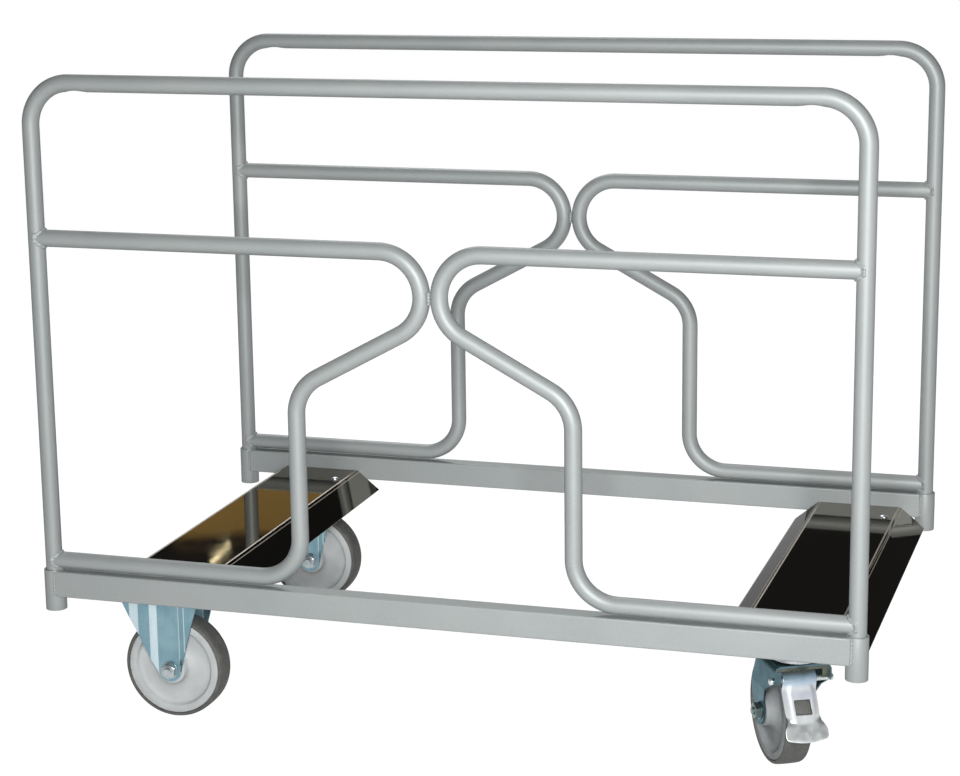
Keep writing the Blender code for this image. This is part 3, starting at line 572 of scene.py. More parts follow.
bright_steel = make_bright_steel("", (0.50, 0.54, 0.56), (0.66, 0.69, 0.70))
nut_steel = make_bright_steel("_nut", (0.26, 0.31, 0.33), (0.48, 0.53, 0.54))
# Painted shade: a darker copy of the nut plating for the swivel casters' nuts and bolts.
shade_dulled_steel = make_bright_steel("_dull", (0.13, 0.18, 0.18), (0.26, 0.31, 0.31))
pedal_steel = make_pedal_steel()


# %% Wheel plastic and tyre rubber
def make_grey_plastic(variety, deep, pale):
    """Grey moulded nylon between two tints, slightly mottled, with a satin skin."""
    made, shader, where = new_finish("grey_plastic", 0.48, 0.0, variety)
    cloud = noise(where, 34, 3.0)
    feed(colours(cloud, [(0.3, deep), (0.7, pale)]), shader, "Base Color")
    shader.inputs["Specular IOR Level"].default_value = 0.12
    grain = noise(where, 700, 2.0)
    feed(spread(grain, 0.42, 0.56), shader, "Roughness")
    relief(shader, grain, 0.10, 0.0002)
    return made


def make_dark_rubber():
    """Dark grey tyre rubber with pale floor dust in its grain."""
    made, shader, where = new_finish("dark_rubber", 0.7, 0.0)
    dust = noise(where, 75, 4.0, 0.6)
    tint = colours(dust, [(0.34, (0.072, 0.076, 0.072)), (0.7, (0.135, 0.135, 0.122))])
    feed(tint, shader, "Base Color")
    grain = noise(where, 900, 2.0)
    feed(spread(dust, 0.58, 0.8), shader, "Roughness")
    relief(shader, grain, 0.25, 0.0003)
    return made


grey_plastic = make_grey_plastic("", (0.47, 0.49, 0.49), (0.56, 0.58, 0.58))
# Painted shade: a darker copy of the wheel nylon for the swivel casters' wheel cores.
shade_dulled_plastic = make_grey_plastic("_dull", (0.22, 0.235, 0.24), (0.30, 0.315, 0.32))
dark_rubber = make_dark_rubber()
finishes = [silver_paint, bronze_gloss, zinc_plate, bright_steel, grey_plastic, dark_rubber]
print("finishes:", [f.name for f in finishes])

# %% [markdown]
# ## The solids that stay
#
# Some solids are right as they are and hardly seen, such as the sleeves inside the hubs and the bars under
# the trays. They are kept, and only take the finish of their slot.

# %% Finish the solids by their slots
finish_of = {slot_of(f): f for f in finishes}
for row in frame["record"]["subparts"]:
    solid = frame["nodes"][row["node"]]
    solid.data.materials.clear()
    solid.data.materials.append(finish_of[row["material_slot"]])

# %% [markdown]
# ## Side frames
#
# Each side frame is three lengths of round tube, bent cold on one die and welded. A curve with a bevel
# would give a tube too, but it is good to see the tube bender at work: a circle is pushed straight along
# the tube with Extrude and swung round each bend with Spin. Solidify then gives the wall.

# %% Tube bender
LEG_X = 0.6065
LEG_Y = 0.381
TUBE_R = 0.0127
TUBE_WALL = 0.0015
TUBE_SIDES = 32
BEND_R = 0.063
BEND_STEP = math.radians(5)
TOP_TUBE_Z = 0.9785
MID_TUBE_Z = 0.7515
LOW_TUBE_Z = 0.2605
SOCKET_SEAT_Z = 0.188
LEG_GAP = 0.0003
SIDES = (("front", -LEG_Y), ("rear", LEG_Y))
ENDS = (("left", -1), ("right", 1))


def push_on(travel, stride):
    """Extrude the open end of a tube along a straight run, in steps of about one stride."""
    steps = max(1, round(travel.length / stride))
    for _ in range(steps):
        bpy.ops.mesh.extrude_region_move(TRANSFORM_OT_translate={"value": travel / steps})


def bend_tube(corners, stride=0.25):
    """A round tube through the corners of its centre line, with the die's radius at each bend."""
    points = [Vector(c) for c in corners]
    first = (points[1] - points[0]).normalized()
    set_down()
    facing = first.to_track_quat("Z", "Y").to_euler()
    bpy.ops.mesh.primitive_circle_add(
        vertices=TUBE_SIDES, radius=TUBE_R, location=points[0], rotation=facing
    )
    tube = bpy.context.object
    settle(tube)
    edit_all(tube)
    here = points[0]
    for before, corner, after in zip(points, points[1:], points[2:]):
        inward = (corner - before).normalized()
        outward = (after - corner).normalized()
        swing = inward.angle(outward)
        axis = inward.cross(outward).normalized()
        setback = BEND_R * math.tan(swing / 2)
        start = corner - inward * setback
        push_on(start - here, stride)
        centre = start + axis.cross(inward) * BEND_R
        bpy.ops.mesh.spin(steps=math.ceil(swing / BEND_STEP), angle=-swing, center=centre, axis=axis)
        here = corner + outward * setback
    push_on(points[-1] - here, stride)
    close_shell(tube)
    apply_modifier(tube, "SOLIDIFY", thickness=TUBE_WALL, offset=-1)
    return tube


# %% Hoops
def dent_hoop(hoop, y):
    """The small flat that the bending die leaves under the top tube, beside each bend."""
    flat_x = LEG_X - BEND_R - 0.012
    for sign in (-1, 1):
        for vertex in hoop.data.vertices:
            away = Vector(((vertex.co.x - sign * flat_x) / 0.020, (vertex.co.y - y) / 0.012))
            under = (TOP_TUBE_Z - vertex.co.z) / TUBE_R
            if under > 0.5 and away.length < 1 and abs(vertex.co.x) < LEG_X - BEND_R + 0.004:
                vertex.co.z += 0.0022 * (1 - away.length ** 2) ** 2


for side, y in SIDES:
    foot = SOCKET_SEAT_Z + LEG_GAP
    hoop = bend_tube(
        [(-LEG_X, y, foot), (-LEG_X, y, TOP_TUBE_Z), (LEG_X, y, TOP_TUBE_Z), (LEG_X, y, foot)], stride=0.008
    )
    dent_hoop(hoop, y)
    hand_over(hoop, f"{side}_hoop_tube", silver_paint, f"{side}_frame", f"{side}_hoop")
    print(side, "hoop faces:", len(hoop.data.polygons))

# %% Infill tubes
INFILL_GAP = 0.0006
INFILL_SLOPE = math.radians(28.5)
INFILL_UPRIGHT_X = 0.206
nose_x = INFILL_GAP / 2 + TUBE_R + BEND_R
infill_tip_x = nose_x - BEND_R / math.tan(INFILL_SLOPE / 2)
infill_knee_z = MID_TUBE_Z - (INFILL_UPRIGHT_X - infill_tip_x) * math.tan(INFILL_SLOPE)
INFILL_CORNERS = [
    (LEG_X, MID_TUBE_Z),
    (infill_tip_x, MID_TUBE_Z),
    (INFILL_UPRIGHT_X, infill_knee_z),
    (INFILL_UPRIGHT_X, LOW_TUBE_Z),
    (LEG_X, LOW_TUBE_Z),
]

for side, y in SIDES:
    for end, sign in ENDS:
        infill = bend_tube([(sign * x, y, z) for x, z in INFILL_CORNERS])
        carve(infill, rod(TUBE_R + LEG_GAP, 0.19, 0.9, (sign * LEG_X, y, 0)))
        hand_over(infill, f"{side}_{end}_infill_tube", silver_paint, f"{side}_frame", f"{side}_{end}_infill")
print("infill knee at", round(infill_knee_z, 4))

# %% [markdown]
# ## Weld beads
#
# Where an infill meets its leg, a bead runs round the tube, and a lumpy bead fills the groove where the
# two infills touch. Each bead starts as a torus or a sphere. Its rings are swelled and pinched in turn, as
# a weld pool leaves them, and the ring on a leg is laid over the leg's round.

# %% Beads round the tubes
BEAD_R = 0.0021
BEAD_RIPPLES = 15
BEAD_LIFT = 0.0004
MEETING_BEAD_R = 0.0031
MEETING_BEAD_HALF = 0.010
MEETING_BEAD_RIPPLES = 4


def leg_bead(x, y, z, way):
    """A rippled ring of weld round an infill tube, laid on the leg at x; way points along the infill."""
    set_down()
    bpy.ops.mesh.primitive_torus_add(
        major_radius=TUBE_R + BEAD_LIFT, minor_radius=BEAD_R, major_segments=90, minor_segments=10,
        location=(0, 0, 0), rotation=(0, math.pi / 2, 0),
    )
    bead = bpy.context.object
    settle(bead)
    for vertex in bead.data.vertices:
        around = math.atan2(vertex.co.z, vertex.co.y)
        ring = Vector((0, math.cos(around), math.sin(around))) * (TUBE_R + BEAD_LIFT)
        swell = 1 + 0.16 * math.sin(BEAD_RIPPLES * around) + 0.1 * math.sin(4 * around + 40 * z + 3 * x)
        vertex.co = ring + (vertex.co - ring) * swell
        reach = math.sqrt(max(TUBE_R ** 2 - min(abs(vertex.co.y), TUBE_R) ** 2, 0))
        vertex.co.x += way * (reach + BEAD_R * 0.35)
        vertex.co += Vector((x, y, z))
    return bead


def groove_bead(start, end, radius, ripples):
    """A rippled straight bead between two points."""
    low, high = Vector(start), Vector(end)
    run = high - low
    set_down()
    bpy.ops.mesh.primitive_uv_sphere_add(segments=16, ring_count=60, radius=1, location=(0, 0, 0))
    bead = bpy.context.object
    turn_to = run.to_track_quat("Z", "Y")
    for vertex in bead.data.vertices:
        along = vertex.co.z
        cap = min(1, (1 - abs(along)) * run.length / 2 / radius)
        flat = Vector((vertex.co.x, vertex.co.y))
        if flat.length > 1e-6:
            flat = flat.normalized() * radius * math.sqrt(max(cap * (2 - cap), 0))
        flat *= 1 + 0.15 * math.sin(ripples * math.pi * along) + 0.08 * math.sin(2.3 * along + 50 * start[0])
        vertex.co = (low + high) / 2 + turn_to @ Vector((flat.x, flat.y, along * run.length / 2))
    close_shell(bead)
    return bead


for side, y in SIDES:
    for end, sign in ENDS:
        for level_name, z in (("middle", MID_TUBE_Z), ("low", LOW_TUBE_Z)):
            bead = leg_bead(sign * LEG_X, y, z, -sign)
            hand_over(bead, f"{side}_{end}_{level_name}_bead", silver_paint, f"{side}_frame", angle=80)
    meet_z = MID_TUBE_Z - BEND_R
    groove_y = math.sqrt((TUBE_R + 0.0026) ** 2 - (TUBE_R + INFILL_GAP / 2) ** 2)
    bead = groove_bead(
        (0, y - groove_y, meet_z - MEETING_BEAD_HALF), (0, y - groove_y, meet_z + MEETING_BEAD_HALF),
        MEETING_BEAD_R, MEETING_BEAD_RIPPLES,
    )
    hand_over(bead, f"{side}_meeting_bead", silver_paint, f"{side}_frame", f"{side}_centre_weld", angle=80)
print("beads round the tubes made")

# %% [markdown]
# ## The base
#
# The base is two box rails, a socket at each corner, and two trays. A rail starts as a cube: its ends are
# opened, its long edges bevelled and its wall made with Solidify. A round tool copes it to the sockets.
# The sockets are turned, because a lathe profile gives the rim, the bore and the floor in one go.

# %% Rails
RAIL_WIDTH = 0.030
RAIL_HEIGHT = 0.040
RAIL_WALL = 0.002
RAIL_TOP_Z = 0.2455
RAIL_CORNER_R = 0.0025
SOCKET_R = 0.016
rail_z = RAIL_TOP_Z - RAIL_HEIGHT / 2

for side, y in SIDES:
    set_down()
    bpy.ops.mesh.primitive_cube_add(size=1, location=(0, y, rail_z))
    rail = bpy.context.object
    rail.scale = (2 * LEG_X, RAIL_WIDTH, RAIL_HEIGHT)
    settle(rail)
    edit_all(rail)
    choose("faces", lambda middle, face: abs(middle.x) > LEG_X - 0.001)
    bpy.ops.mesh.delete(type="FACE")
    choose("edges", lambda middle, edge: abs(edge.verts[0].co.x - edge.verts[1].co.x) > LEG_X)
    bpy.ops.mesh.bevel(offset=RAIL_CORNER_R, segments=5, affect="EDGES")
    close_shell(rail)
    apply_modifier(rail, "SOLIDIFY", thickness=RAIL_WALL, offset=-1, use_even_offset=True)
    for sign in (-1, 1):
        carve(rail, rod(SOCKET_R + LEG_GAP, 0.15, 0.3, (sign * LEG_X, y, 0)))
    hand_over(rail, f"{side}_box_rail", silver_paint, "base", f"{side}_rail", flats=True)
print("rails made")

# %% Sockets
SOCKET_TOP_Z = 0.2465
SOCKET_LOW_Z = 0.183
SOCKET_BORE_R = 0.0132
SOCKET_DRAIN_R = 0.008
SOCKET_BEAD_R = 0.0019
SOCKET_BEAD_RIPPLES = 7
socket_profile = [
    (SOCKET_BORE_R, SOCKET_TOP_Z - 0.0004),
    (SOCKET_BORE_R + 0.0004, SOCKET_TOP_Z),
    (SOCKET_R - 0.0008, SOCKET_TOP_Z),
    (SOCKET_R - 0.0002, SOCKET_TOP_Z - 0.0003),
    (SOCKET_R, SOCKET_TOP_Z - 0.001),
    (SOCKET_R, SOCKET_LOW_Z + 0.0008),
    (SOCKET_R - 0.0002, SOCKET_LOW_Z + 0.0002),
    (SOCKET_R - 0.0008, SOCKET_LOW_Z),
    (SOCKET_DRAIN_R, SOCKET_LOW_Z),
    (SOCKET_DRAIN_R, SOCKET_SEAT_Z),
    (SOCKET_BORE_R, SOCKET_SEAT_Z),
]
socket_master = turned(socket_profile, 64)
for side, y in SIDES:
    for end, sign in ENDS:
        socket = copy_to(socket_master, (sign * LEG_X, y, 0))
        hand_over(socket, f"{side}_{end}_socket_tube", silver_paint, "base", f"{side}_{end}_socket")
        cope_x = LEG_X - math.sqrt(SOCKET_R ** 2 - (RAIL_WIDTH / 2) ** 2) - 0.0005
        for face, face_name in ((-1, "outer"), (1, "inner")):
            bead_y = y + face * RAIL_WIDTH / 2
            bead = groove_bead(
                (sign * cope_x, bead_y, RAIL_TOP_Z - RAIL_HEIGHT + 0.001),
                (sign * cope_x, bead_y, RAIL_TOP_Z - 0.001),
                SOCKET_BEAD_R, SOCKET_BEAD_RIPPLES,
            )
            hand_over(bead, f"{side}_{end}_{face_name}_socket_bead", silver_paint, "base", angle=80)
bpy.data.objects.remove(socket_master, do_unlink=True)
print("sockets made")

# %% [markdown]
# The trays are sheet, folded down along both long edges in a press brake. A plane is the flat, its two
# long edges are extruded into the flanges, and a bevel on the fold lines gives the bend. The corner beside
# each socket is cut away to clear it, and the flanges are mitred at their front ends. Domed bolts hold the
# flat.

# %% Trays
TRAY_DROP = 0.033
TRAY_SHEET = 0.002
TRAY_BEND = 0.0032
TRAY_HALF_Y = 0.3657
TRAY_MITRE_LENGTH = 0.026
TRAY_MITRE_RISE = 0.011

for end, tray_x in TRAYS:
    set_down()
    bpy.ops.mesh.primitive_plane_add(size=1, location=(tray_x, 0, TRAY_TOP_Z))
    tray = bpy.context.object
    tray.scale = (TRAY_FLAT, 2 * TRAY_HALF_Y, 1)
    settle(tray)
    edit_all(tray)
    for sign in (-1, 1):
        choose("edges", lambda middle, edge: (middle.x - tray_x) * sign > TRAY_FLAT / 2 - 0.001)
        flange = (sign * TRAY_REACH, 0, -TRAY_DROP)
        bpy.ops.mesh.extrude_region_move(TRANSFORM_OT_translate={"value": flange})
    choose(
        "edges",
        lambda middle, edge: abs(abs(middle.x - tray_x) - TRAY_FLAT / 2) < 0.001 and abs(middle.y) < 0.01,
    )
    bpy.ops.mesh.bevel(offset=TRAY_BEND, segments=6, affect="EDGES")
    close_shell(tray)
    apply_modifier(tray, "SOLIDIFY", thickness=TRAY_SHEET, offset=-1, use_even_offset=True)
    for y in (-LEG_Y, LEG_Y):
        carve(tray, rod(SOCKET_R + 0.002, 0.1, 0.3, (math.copysign(LEG_X, tray_x), y, 0)))
    flange_low = TRAY_TOP_Z - TRAY_DROP - TRAY_SHEET
    slope = TRAY_MITRE_RISE / TRAY_MITRE_LENGTH
    mitre = [
        (-TRAY_HALF_Y - 0.002, flange_low + TRAY_MITRE_RISE + 0.002 * slope),
        (-TRAY_HALF_Y - 0.002, flange_low - 0.002),
        (-TRAY_HALF_Y + TRAY_MITRE_LENGTH + 0.002 / slope, flange_low - 0.002),
    ]
    carve(tray, prism([(tray_x - 0.2, y, z) for y, z in mitre], (0.4, 0, 0)))
    soften(tray, 0.0004)
    hand_over(tray, f"{end}_folded_tray", bronze_gloss, "base", f"{end}_tray", flats=True)
    print(end, "tray box:", [round(v, 4) for v in tray.dimensions])

# %% Tray bolts
TRAY_BOLT_X = 0.050
TRAY_BOLT_Y = 0.300
dome = [(0, 0), (0.0068, 0), (0.0066, 0.0009), (0.0056, 0.0021), (0.0036, 0.0029), (0, 0.0032)]
dome_master = turned(dome, 32)
for end, tray_x in TRAYS:
    domes = [copy_to(dome_master, (tray_x + TRAY_BOLT_X, sy * TRAY_BOLT_Y, TRAY_TOP_Z)) for sy in (-1, 1)]
    hand_over(join(*domes), f"{end}_tray_bolts", bright_steel, "base")
bpy.data.objects.remove(dome_master, do_unlink=True)
print("tray bolts set")

# %% [markdown]
# ## Casters
#
# All four wheels are the same, so the wheel, its nut and the plate are modelled once about the origin and
# copied to their places. The wheel is turned: a dished nylon core with a raised rim ring and a boss, and a
# rubber tyre with rounded shoulders. A spun profile is the natural way to make such a thing.

# %% Wheel masters
AXLE_Z = 0.080
CORE_SIDE = [
    (0.0094, 0.0292), (0.0098, 0.0296), (0.0218, 0.0296), (0.0229, 0.0292), (0.0235, 0.0280),
    (0.0241, 0.0225), (0.0248, 0.0190), (0.0262, 0.0165), (0.0282, 0.0147), (0.0307, 0.0131),
    (0.0342, 0.0117), (0.0390, 0.0106), (0.0450, 0.0099), (0.0520, 0.0097), (0.0565, 0.0103),
    (0.0592, 0.0117), (0.0606, 0.0137), (0.0613, 0.0160), (0.0619, 0.0181), (0.0628, 0.0191),
    (0.0642, 0.0194), (0.0715, 0.0194), (0.0726, 0.0190), (0.0732, 0.0180), (0.0732, 0.0150),
    (0.0700, 0.0147),
]
TYRE_SIDE = [
    (0.0705, 0.0145), (0.0735, 0.0148), (0.0735, 0.0182), (0.0741, 0.0195), (0.0752, 0.0199),
    (0.0766, 0.0197), (0.0778, 0.0190), (0.0788, 0.0177), (0.0794, 0.0160), (0.0795, 0.0152),
    (0.0793, 0.0149), (0.0796, 0.0145), (0.0799, 0.0090), (0.0800, 0.0040),
]


def both_sides(profile):
    """A profile's one side, closed by its mirror image across the wheel's middle."""
    return profile + [(r, -h) for r, h in reversed(profile)]


def lay_on_axle(piece):
    """Turn a piece from standing on Z to lying along the axle, nut end to the front."""
    piece.rotation_euler = (math.pi / 2, 0, 0)
    settle(piece)
    return piece


core_master = lay_on_axle(turned(both_sides(CORE_SIDE), 96))
tyre_master = lay_on_axle(turned(both_sides(TYRE_SIDE), 96))
print("core and tyre faces:", len(core_master.data.polygons), len(tyre_master.data.polygons))

# %% Axle masters
FORK_OUTER = 0.0333
NUT_R = 0.0125
NUT_H = 0.008
AXLE_R = 0.006
WASHER_R = 0.0135
WASHER_T = 0.0014
WASHER_HOLE_R = 0.0064
HEAD_CHAMFER = 0.0014
BOLT_TIP = 0.0446
THREAD_PITCH = 0.0015


def hex_head(radius, low, high, chamfer):
    """A six-sided head or nut with its outer corners chamfered, standing on Z."""
    head = rod(radius, low, high, sides=6)
    tool = turned([
        (0, low - 0.001), (radius * 1.2, low - 0.001), (radius * 1.2, high - chamfer * 1.8),
        (radius * 0.87, high), (0, high),
    ], 48)
    carve(head, tool, "INTERSECT")
    return head


def washer(radius, hole, low, high):
    """A flat ring with its outer edges rounded."""
    edge = (high - low) * 0.3
    return turned([
        (hole, low), (radius - edge, low), (radius, low + edge),
        (radius, high - edge), (radius - edge, high), (hole, high),
    ], 48)


def threaded_end(radius, low, high, pitch):
    """A rod with a thread along it, cut as close rings, and a chamfered tip."""
    profile = [(0, low), (radius, low)]
    z = low + 0.001
    while z + pitch < high - 0.001:
        profile += [(radius, z), (radius - pitch * 0.45, z + pitch * 0.5)]
        z += pitch
    profile += [(radius, z), (radius, high - 0.001), (radius - 0.001, high), (0, high)]
    return turned(profile, 40)


nut_low = FORK_OUTER + WASHER_T
nut_master = join(
    hex_head(NUT_R, nut_low, nut_low + NUT_H - 0.001, HEAD_CHAMFER),
    washer(WASHER_R, WASHER_HOLE_R, FORK_OUTER, nut_low - 0.0001),
)
lay_on_axle(nut_master)
bolt_master = threaded_end(AXLE_R, -FORK_OUTER, BOLT_TIP, THREAD_PITCH)
bolt_head = hex_head(NUT_R, FORK_OUTER, FORK_OUTER + NUT_H, HEAD_CHAMFER)
bolt_head.rotation_euler = (math.pi, 0, 0)
settle(bolt_head)
bolt_master = lay_on_axle(join(bolt_master, bolt_head))
print("axle masters made")

# %% [markdown]
# A caster hangs from its plate, a thick stamped rectangle with a bolt near each corner. The plate is a
# cube with bevelled corners. The hexagon heads underneath are made by cutting a six-sided rod with a
# turned cone, which is how a real head gets its chamfer.

# %% Plate master
PLATE_X = 0.135
PLATE_Y = 0.125
PLATE_LOW_Z = 0.2007
PLATE_TOP_Z = 0.2052
BOLT_X = 0.105
BOLT_Y = 0.100


def make_plate_master():
    """A caster plate with its four bolts, about its own centre."""
    set_down()
    bpy.ops.mesh.primitive_cube_add(size=1, location=(0, 0, (PLATE_LOW_Z + PLATE_TOP_Z) / 2))
    plate = bpy.context.object
    plate.scale = (PLATE_X, PLATE_Y, PLATE_TOP_Z - PLATE_LOW_Z)
    settle(plate)
    edit_all(plate)
    choose("edges", lambda middle, edge: abs(edge.verts[0].co.z - edge.verts[1].co.z) > 0.001)
    bpy.ops.mesh.bevel(offset=0.008, segments=6, affect="EDGES")
    set_down()
    soften(plate, 0.0007, 2, 60)
    bolts = []
    for sx in (-1, 1):
        for sy in (-1, 1):
            head = hex_head(0.0075, 0, 0.0052, 0.001)
            ring = washer(0.009, 0.004, -0.0012, 0)
            bolt = join(head, ring)
            bolt.rotation_euler = (math.pi, 0, 0.3 * sx + 0.5 * sy)
            bolt.location = (sx * BOLT_X / 2, sy * BOLT_Y / 2, PLATE_LOW_Z - 0.0012)
            settle(bolt)
            bolts.append(bolt)
    return join(plate, *bolts)


plate_master = make_plate_master()
print("plate faces:", len(plate_master.data.polygons))

# %% [markdown]
# ## Fixed casters
#
# A fixed fork is one pressing. Each leg is folded out in steps, from the flat panel at the axle to the
# wings at its edges, and cut to a V that ends in a round eye. So the fold line, seen from above, is pushed
# down into a sheet, and an outline seen from the side cuts the V. The bright lines in the photograph are
# these fold lines, and their highlights are also painted into the plating as pale bands.

# %% Fixed fork master
FORK_SHEET = 0.003
FORK_INNER = 0.0303
FIXED_TOP_Z = 0.2004
FIXED_HALF = 0.066
FIXED_LEAD = 0.0125
FIXED_EYE_R = 0.0185
FIXED_X = -0.461
CASTER_Y = 0.295


def fixed_fold_line():
    """The plan of a fixed fork's leg: a panel at the axle, and a step, flat, step and wing to each side."""
    panel = FORK_INNER + FORK_SHEET / 2
    flat, wing = panel + 0.005, panel + 0.008
    half = [(0.0175, panel), (0.0285, flat), (0.0465, flat), (0.060, wing), (0.095, wing)]
    return [(-u, v) for u, v in reversed(half)] + half


def make_fixed_fork_master():
    """The fixed fork about its plate's centre: two folded legs under a flat crown."""
    top, low = FIXED_TOP_Z, AXLE_Z - 2 * FIXED_EYE_R
    fold = rounded(fixed_fold_line(), 0.006, math.radians(6))
    legs = []
    for sign in (-1, 1):
        line = [(FIXED_LEAD + u, sign * v, top + FORK_SHEET) for u, v in fold]
        legs.append(pressed_sheet(line, (0, 0, low - top - FORK_SHEET), FORK_SHEET))
    half, lead, eye = FIXED_HALF, FIXED_LEAD, FIXED_EYE_R
    rear_lean = math.atan2(half + lead - eye, top - AXLE_Z)
    front_lean = math.atan2(half - lead - eye, top - AXLE_Z)
    eye_arc = arc((lead, AXLE_Z), eye, math.pi + rear_lean, math.tau - front_lean, math.radians(8))
    outline = [(-half, top)] + eye_arc + [(half, top)]
    fork = legs[0]
    carve(fork, prism([(u, -0.1, z) for u, z in outline], (0, 0.2, 0)), "INTERSECT")
    carve(legs[1], prism([(u, -0.1, z) for u, z in outline], (0, 0.2, 0)), "INTERSECT")
    inside = [(lead + u, v) for u, v in fold if abs(lead + u) < half]
    crown_outline = inside + [(u, -v) for u, v in reversed(inside)]
    crown = prism([(u, v, top - FORK_SHEET) for u, v in crown_outline], (0, 0, FORK_SHEET - 0.0003))
    carve(fork, crown, "UNION")
    carve(fork, legs[1], "UNION")
    carve(fork, rod(AXLE_R + 0.0004, -0.1, 0.1, (lead, 0, AXLE_Z), "Y"))
    soften(fork, 0.0005, 2, 50)
    return fork


fixed_fork_master = make_fixed_fork_master()
print("fixed fork faces:", len(fixed_fork_master.data.polygons))

# %% Set the fixed casters
def set_wheel(name, axle, heading, carrier, plating, nylon):
    """Copies of the wheel, nut and bolt at an axle; the wheel spins and the rest ride their carrier."""
    place = (axle[0], axle[1], AXLE_Z)
    wheel = f"{name}_wheel"
    hand_copy(core_master, place, heading, name, "wheel_core", nylon, wheel, "core")
    hand_copy(tyre_master, place, heading, name, "wheel_tyre", dark_rubber, wheel, "tyre")
    hand_copy(nut_master, place, heading, name, "hex_nut", plating, carrier, "axle_nut")
    hand_copy(bolt_master, place, heading, name, "hex_bolt", plating, carrier, "axle_bolt")


for side, y in (("front", -CASTER_Y), ("rear", CASTER_Y)):
    name = f"{side}_left"
    centre = (FIXED_X, y, 0)
    hand_copy(plate_master, centre, 0.0, name, "bolted_plate", zinc_plate, "base", "plate")
    # The fixed fork's plating carries painted highlights along its fold lines.
    hand_copy(fixed_fork_master, centre, 0.0, name, "pressed_fork", fold_highlit_zinc, "base", "fork", flats=True)
    set_wheel(name, (FIXED_X + FIXED_LEAD, y), 0.0, "base", nut_steel, grey_plastic)
bpy.data.objects.remove(fixed_fork_master, do_unlink=True)
print("fixed casters set")

# %% [markdown]
# ## Braked swivel casters
#
# The swivel fork is a bent strap, wide over the wheel's top and drawn in to the hub. Its section is pushed
# along the rolling direction, and its side outline cuts the long sweep from the crown back to the axle. A
# front wall closes it over the pedal's curl. Above it are the race cup and cone, turned, and the kingpin
# that holds them together.

# %% Swivel fork master
SWIVEL_X = 0.508
SWIVEL_HEADING = math.radians(60)
TRAIL = 0.058
CROWN_TOP_Z = 0.176
CROWN_REAR_U = -0.042
CROWN_BEND_R = 0.009
FORK_EYE_R = 0.020
FORK_NECK_Z = 0.086
FORK_SHOULDER_Z = 0.128
FORK_REAR_Z = 0.104
FORK_NOSE = 0.009
FORK_ARCH = ((-0.033, 0.100), (-0.009, 0.130), (0.031, 0.153))
FRONT_LOW_Z = 0.1545
FRONT_LIP_Z = 0.1680
FRONT_WALL_GAP = 0.0015
FRONT_CORNER_R = 0.006
FRONT_OPEN_V = 0.0285
LIP_LOW_Z = 0.1475
LIP_V = -0.0325
FORK_WIDE = 0.041
PIN_U = 0.022
PIN_Z = 0.152
PIN_HOLE_R = 0.0043
KINGPIN_HOLE_R = 0.0065


def make_swivel_fork_master():
    """The swivel fork on U (the pedal's side), V and Z about the kingpin."""
    narrow = FORK_INNER + FORK_SHEET / 2
    low, top = AXLE_Z - 2 * FORK_EYE_R, CROWN_TOP_Z - FORK_SHEET / 2
    right = [(FORK_WIDE, top), (FORK_WIDE, FORK_SHOULDER_Z), (narrow, FORK_NECK_Z), (narrow, low)]
    corners = [(-v, z) for v, z in reversed(right)] + right
    section = rounded(corners, [0, 0.016, 0.012, CROWN_BEND_R, CROWN_BEND_R, 0.012, 0.016, 0])
    reach = 0.2
    fork = pressed_sheet([(-reach, v, z) for v, z in section], (2 * reach, 0, 0), FORK_SHEET)
    eye_u, nose_u = -TRAIL, PIN_U + FORK_NOSE
    above, rear_u = CROWN_TOP_Z + 0.002, eye_u - FORK_EYE_R
    outline = rounded(
        [(nose_u, above), (CROWN_REAR_U, above), (rear_u, FORK_REAR_Z), (rear_u, AXLE_Z)],
        FORK_EYE_R, math.radians(6),
    )
    outline += arc((eye_u, AXLE_Z), FORK_EYE_R, -math.pi, 0, math.radians(8))
    outline += rounded([outline[-1], *FORK_ARCH], FORK_EYE_R, math.radians(6))[1:]
    carve(fork, prism([(u, -0.1, z) for u, z in outline], (0, 0.2, 0)), "INTERSECT")
    lip = [(-FORK_WIDE, LIP_LOW_Z), (-FORK_WIDE, FRONT_LIP_Z), (LIP_V, FRONT_LIP_Z), (LIP_V, LIP_LOW_Z)]
    carve(fork, prism([(nose_u - FORK_SHEET, v, z) for v, z in lip], (FORK_SHEET - 0.0004, 0, 0)), "UNION")
    carve(fork, rod(AXLE_R + 0.0004, -0.1, 0.1, (eye_u, 0, AXLE_Z), "Y"))
    carve(fork, rod(PIN_HOLE_R, -0.1, 0.1, (PIN_U, 0, PIN_Z), "Y"))
    carve(fork, rod(KINGPIN_HOLE_R, 0.1, 0.3))
    soften(fork, 0.0006, 2, 50)
    return fork


def make_fork_front_master():
    """The fork's front wall: sheet that closes the strap over the pedal's curl and down its right side."""
    wide, top = FORK_WIDE - FRONT_WALL_GAP / 2, CROWN_TOP_Z - FRONT_WALL_GAP
    wall = rounded(
        [(-wide, FRONT_LIP_Z), (-wide, top), (wide, top), (wide, FRONT_LOW_Z)],
        [0, FRONT_CORNER_R, CROWN_BEND_R, 0], math.radians(10),
    )
    wall += [(FRONT_OPEN_V, FRONT_LOW_Z), (FRONT_OPEN_V, FRONT_LIP_Z)]
    front_u = PIN_U + FORK_NOSE - FRONT_WALL_GAP / 2 - FORK_SHEET
    front = prism([(front_u, v, z) for v, z in wall], (FORK_SHEET, 0, 0))
    soften(front, 0.0006, 2, 50)
    return front


swivel_fork_master = make_swivel_fork_master()
fork_front_master = make_fork_front_master()
print("swivel fork faces:", len(swivel_fork_master.data.polygons))

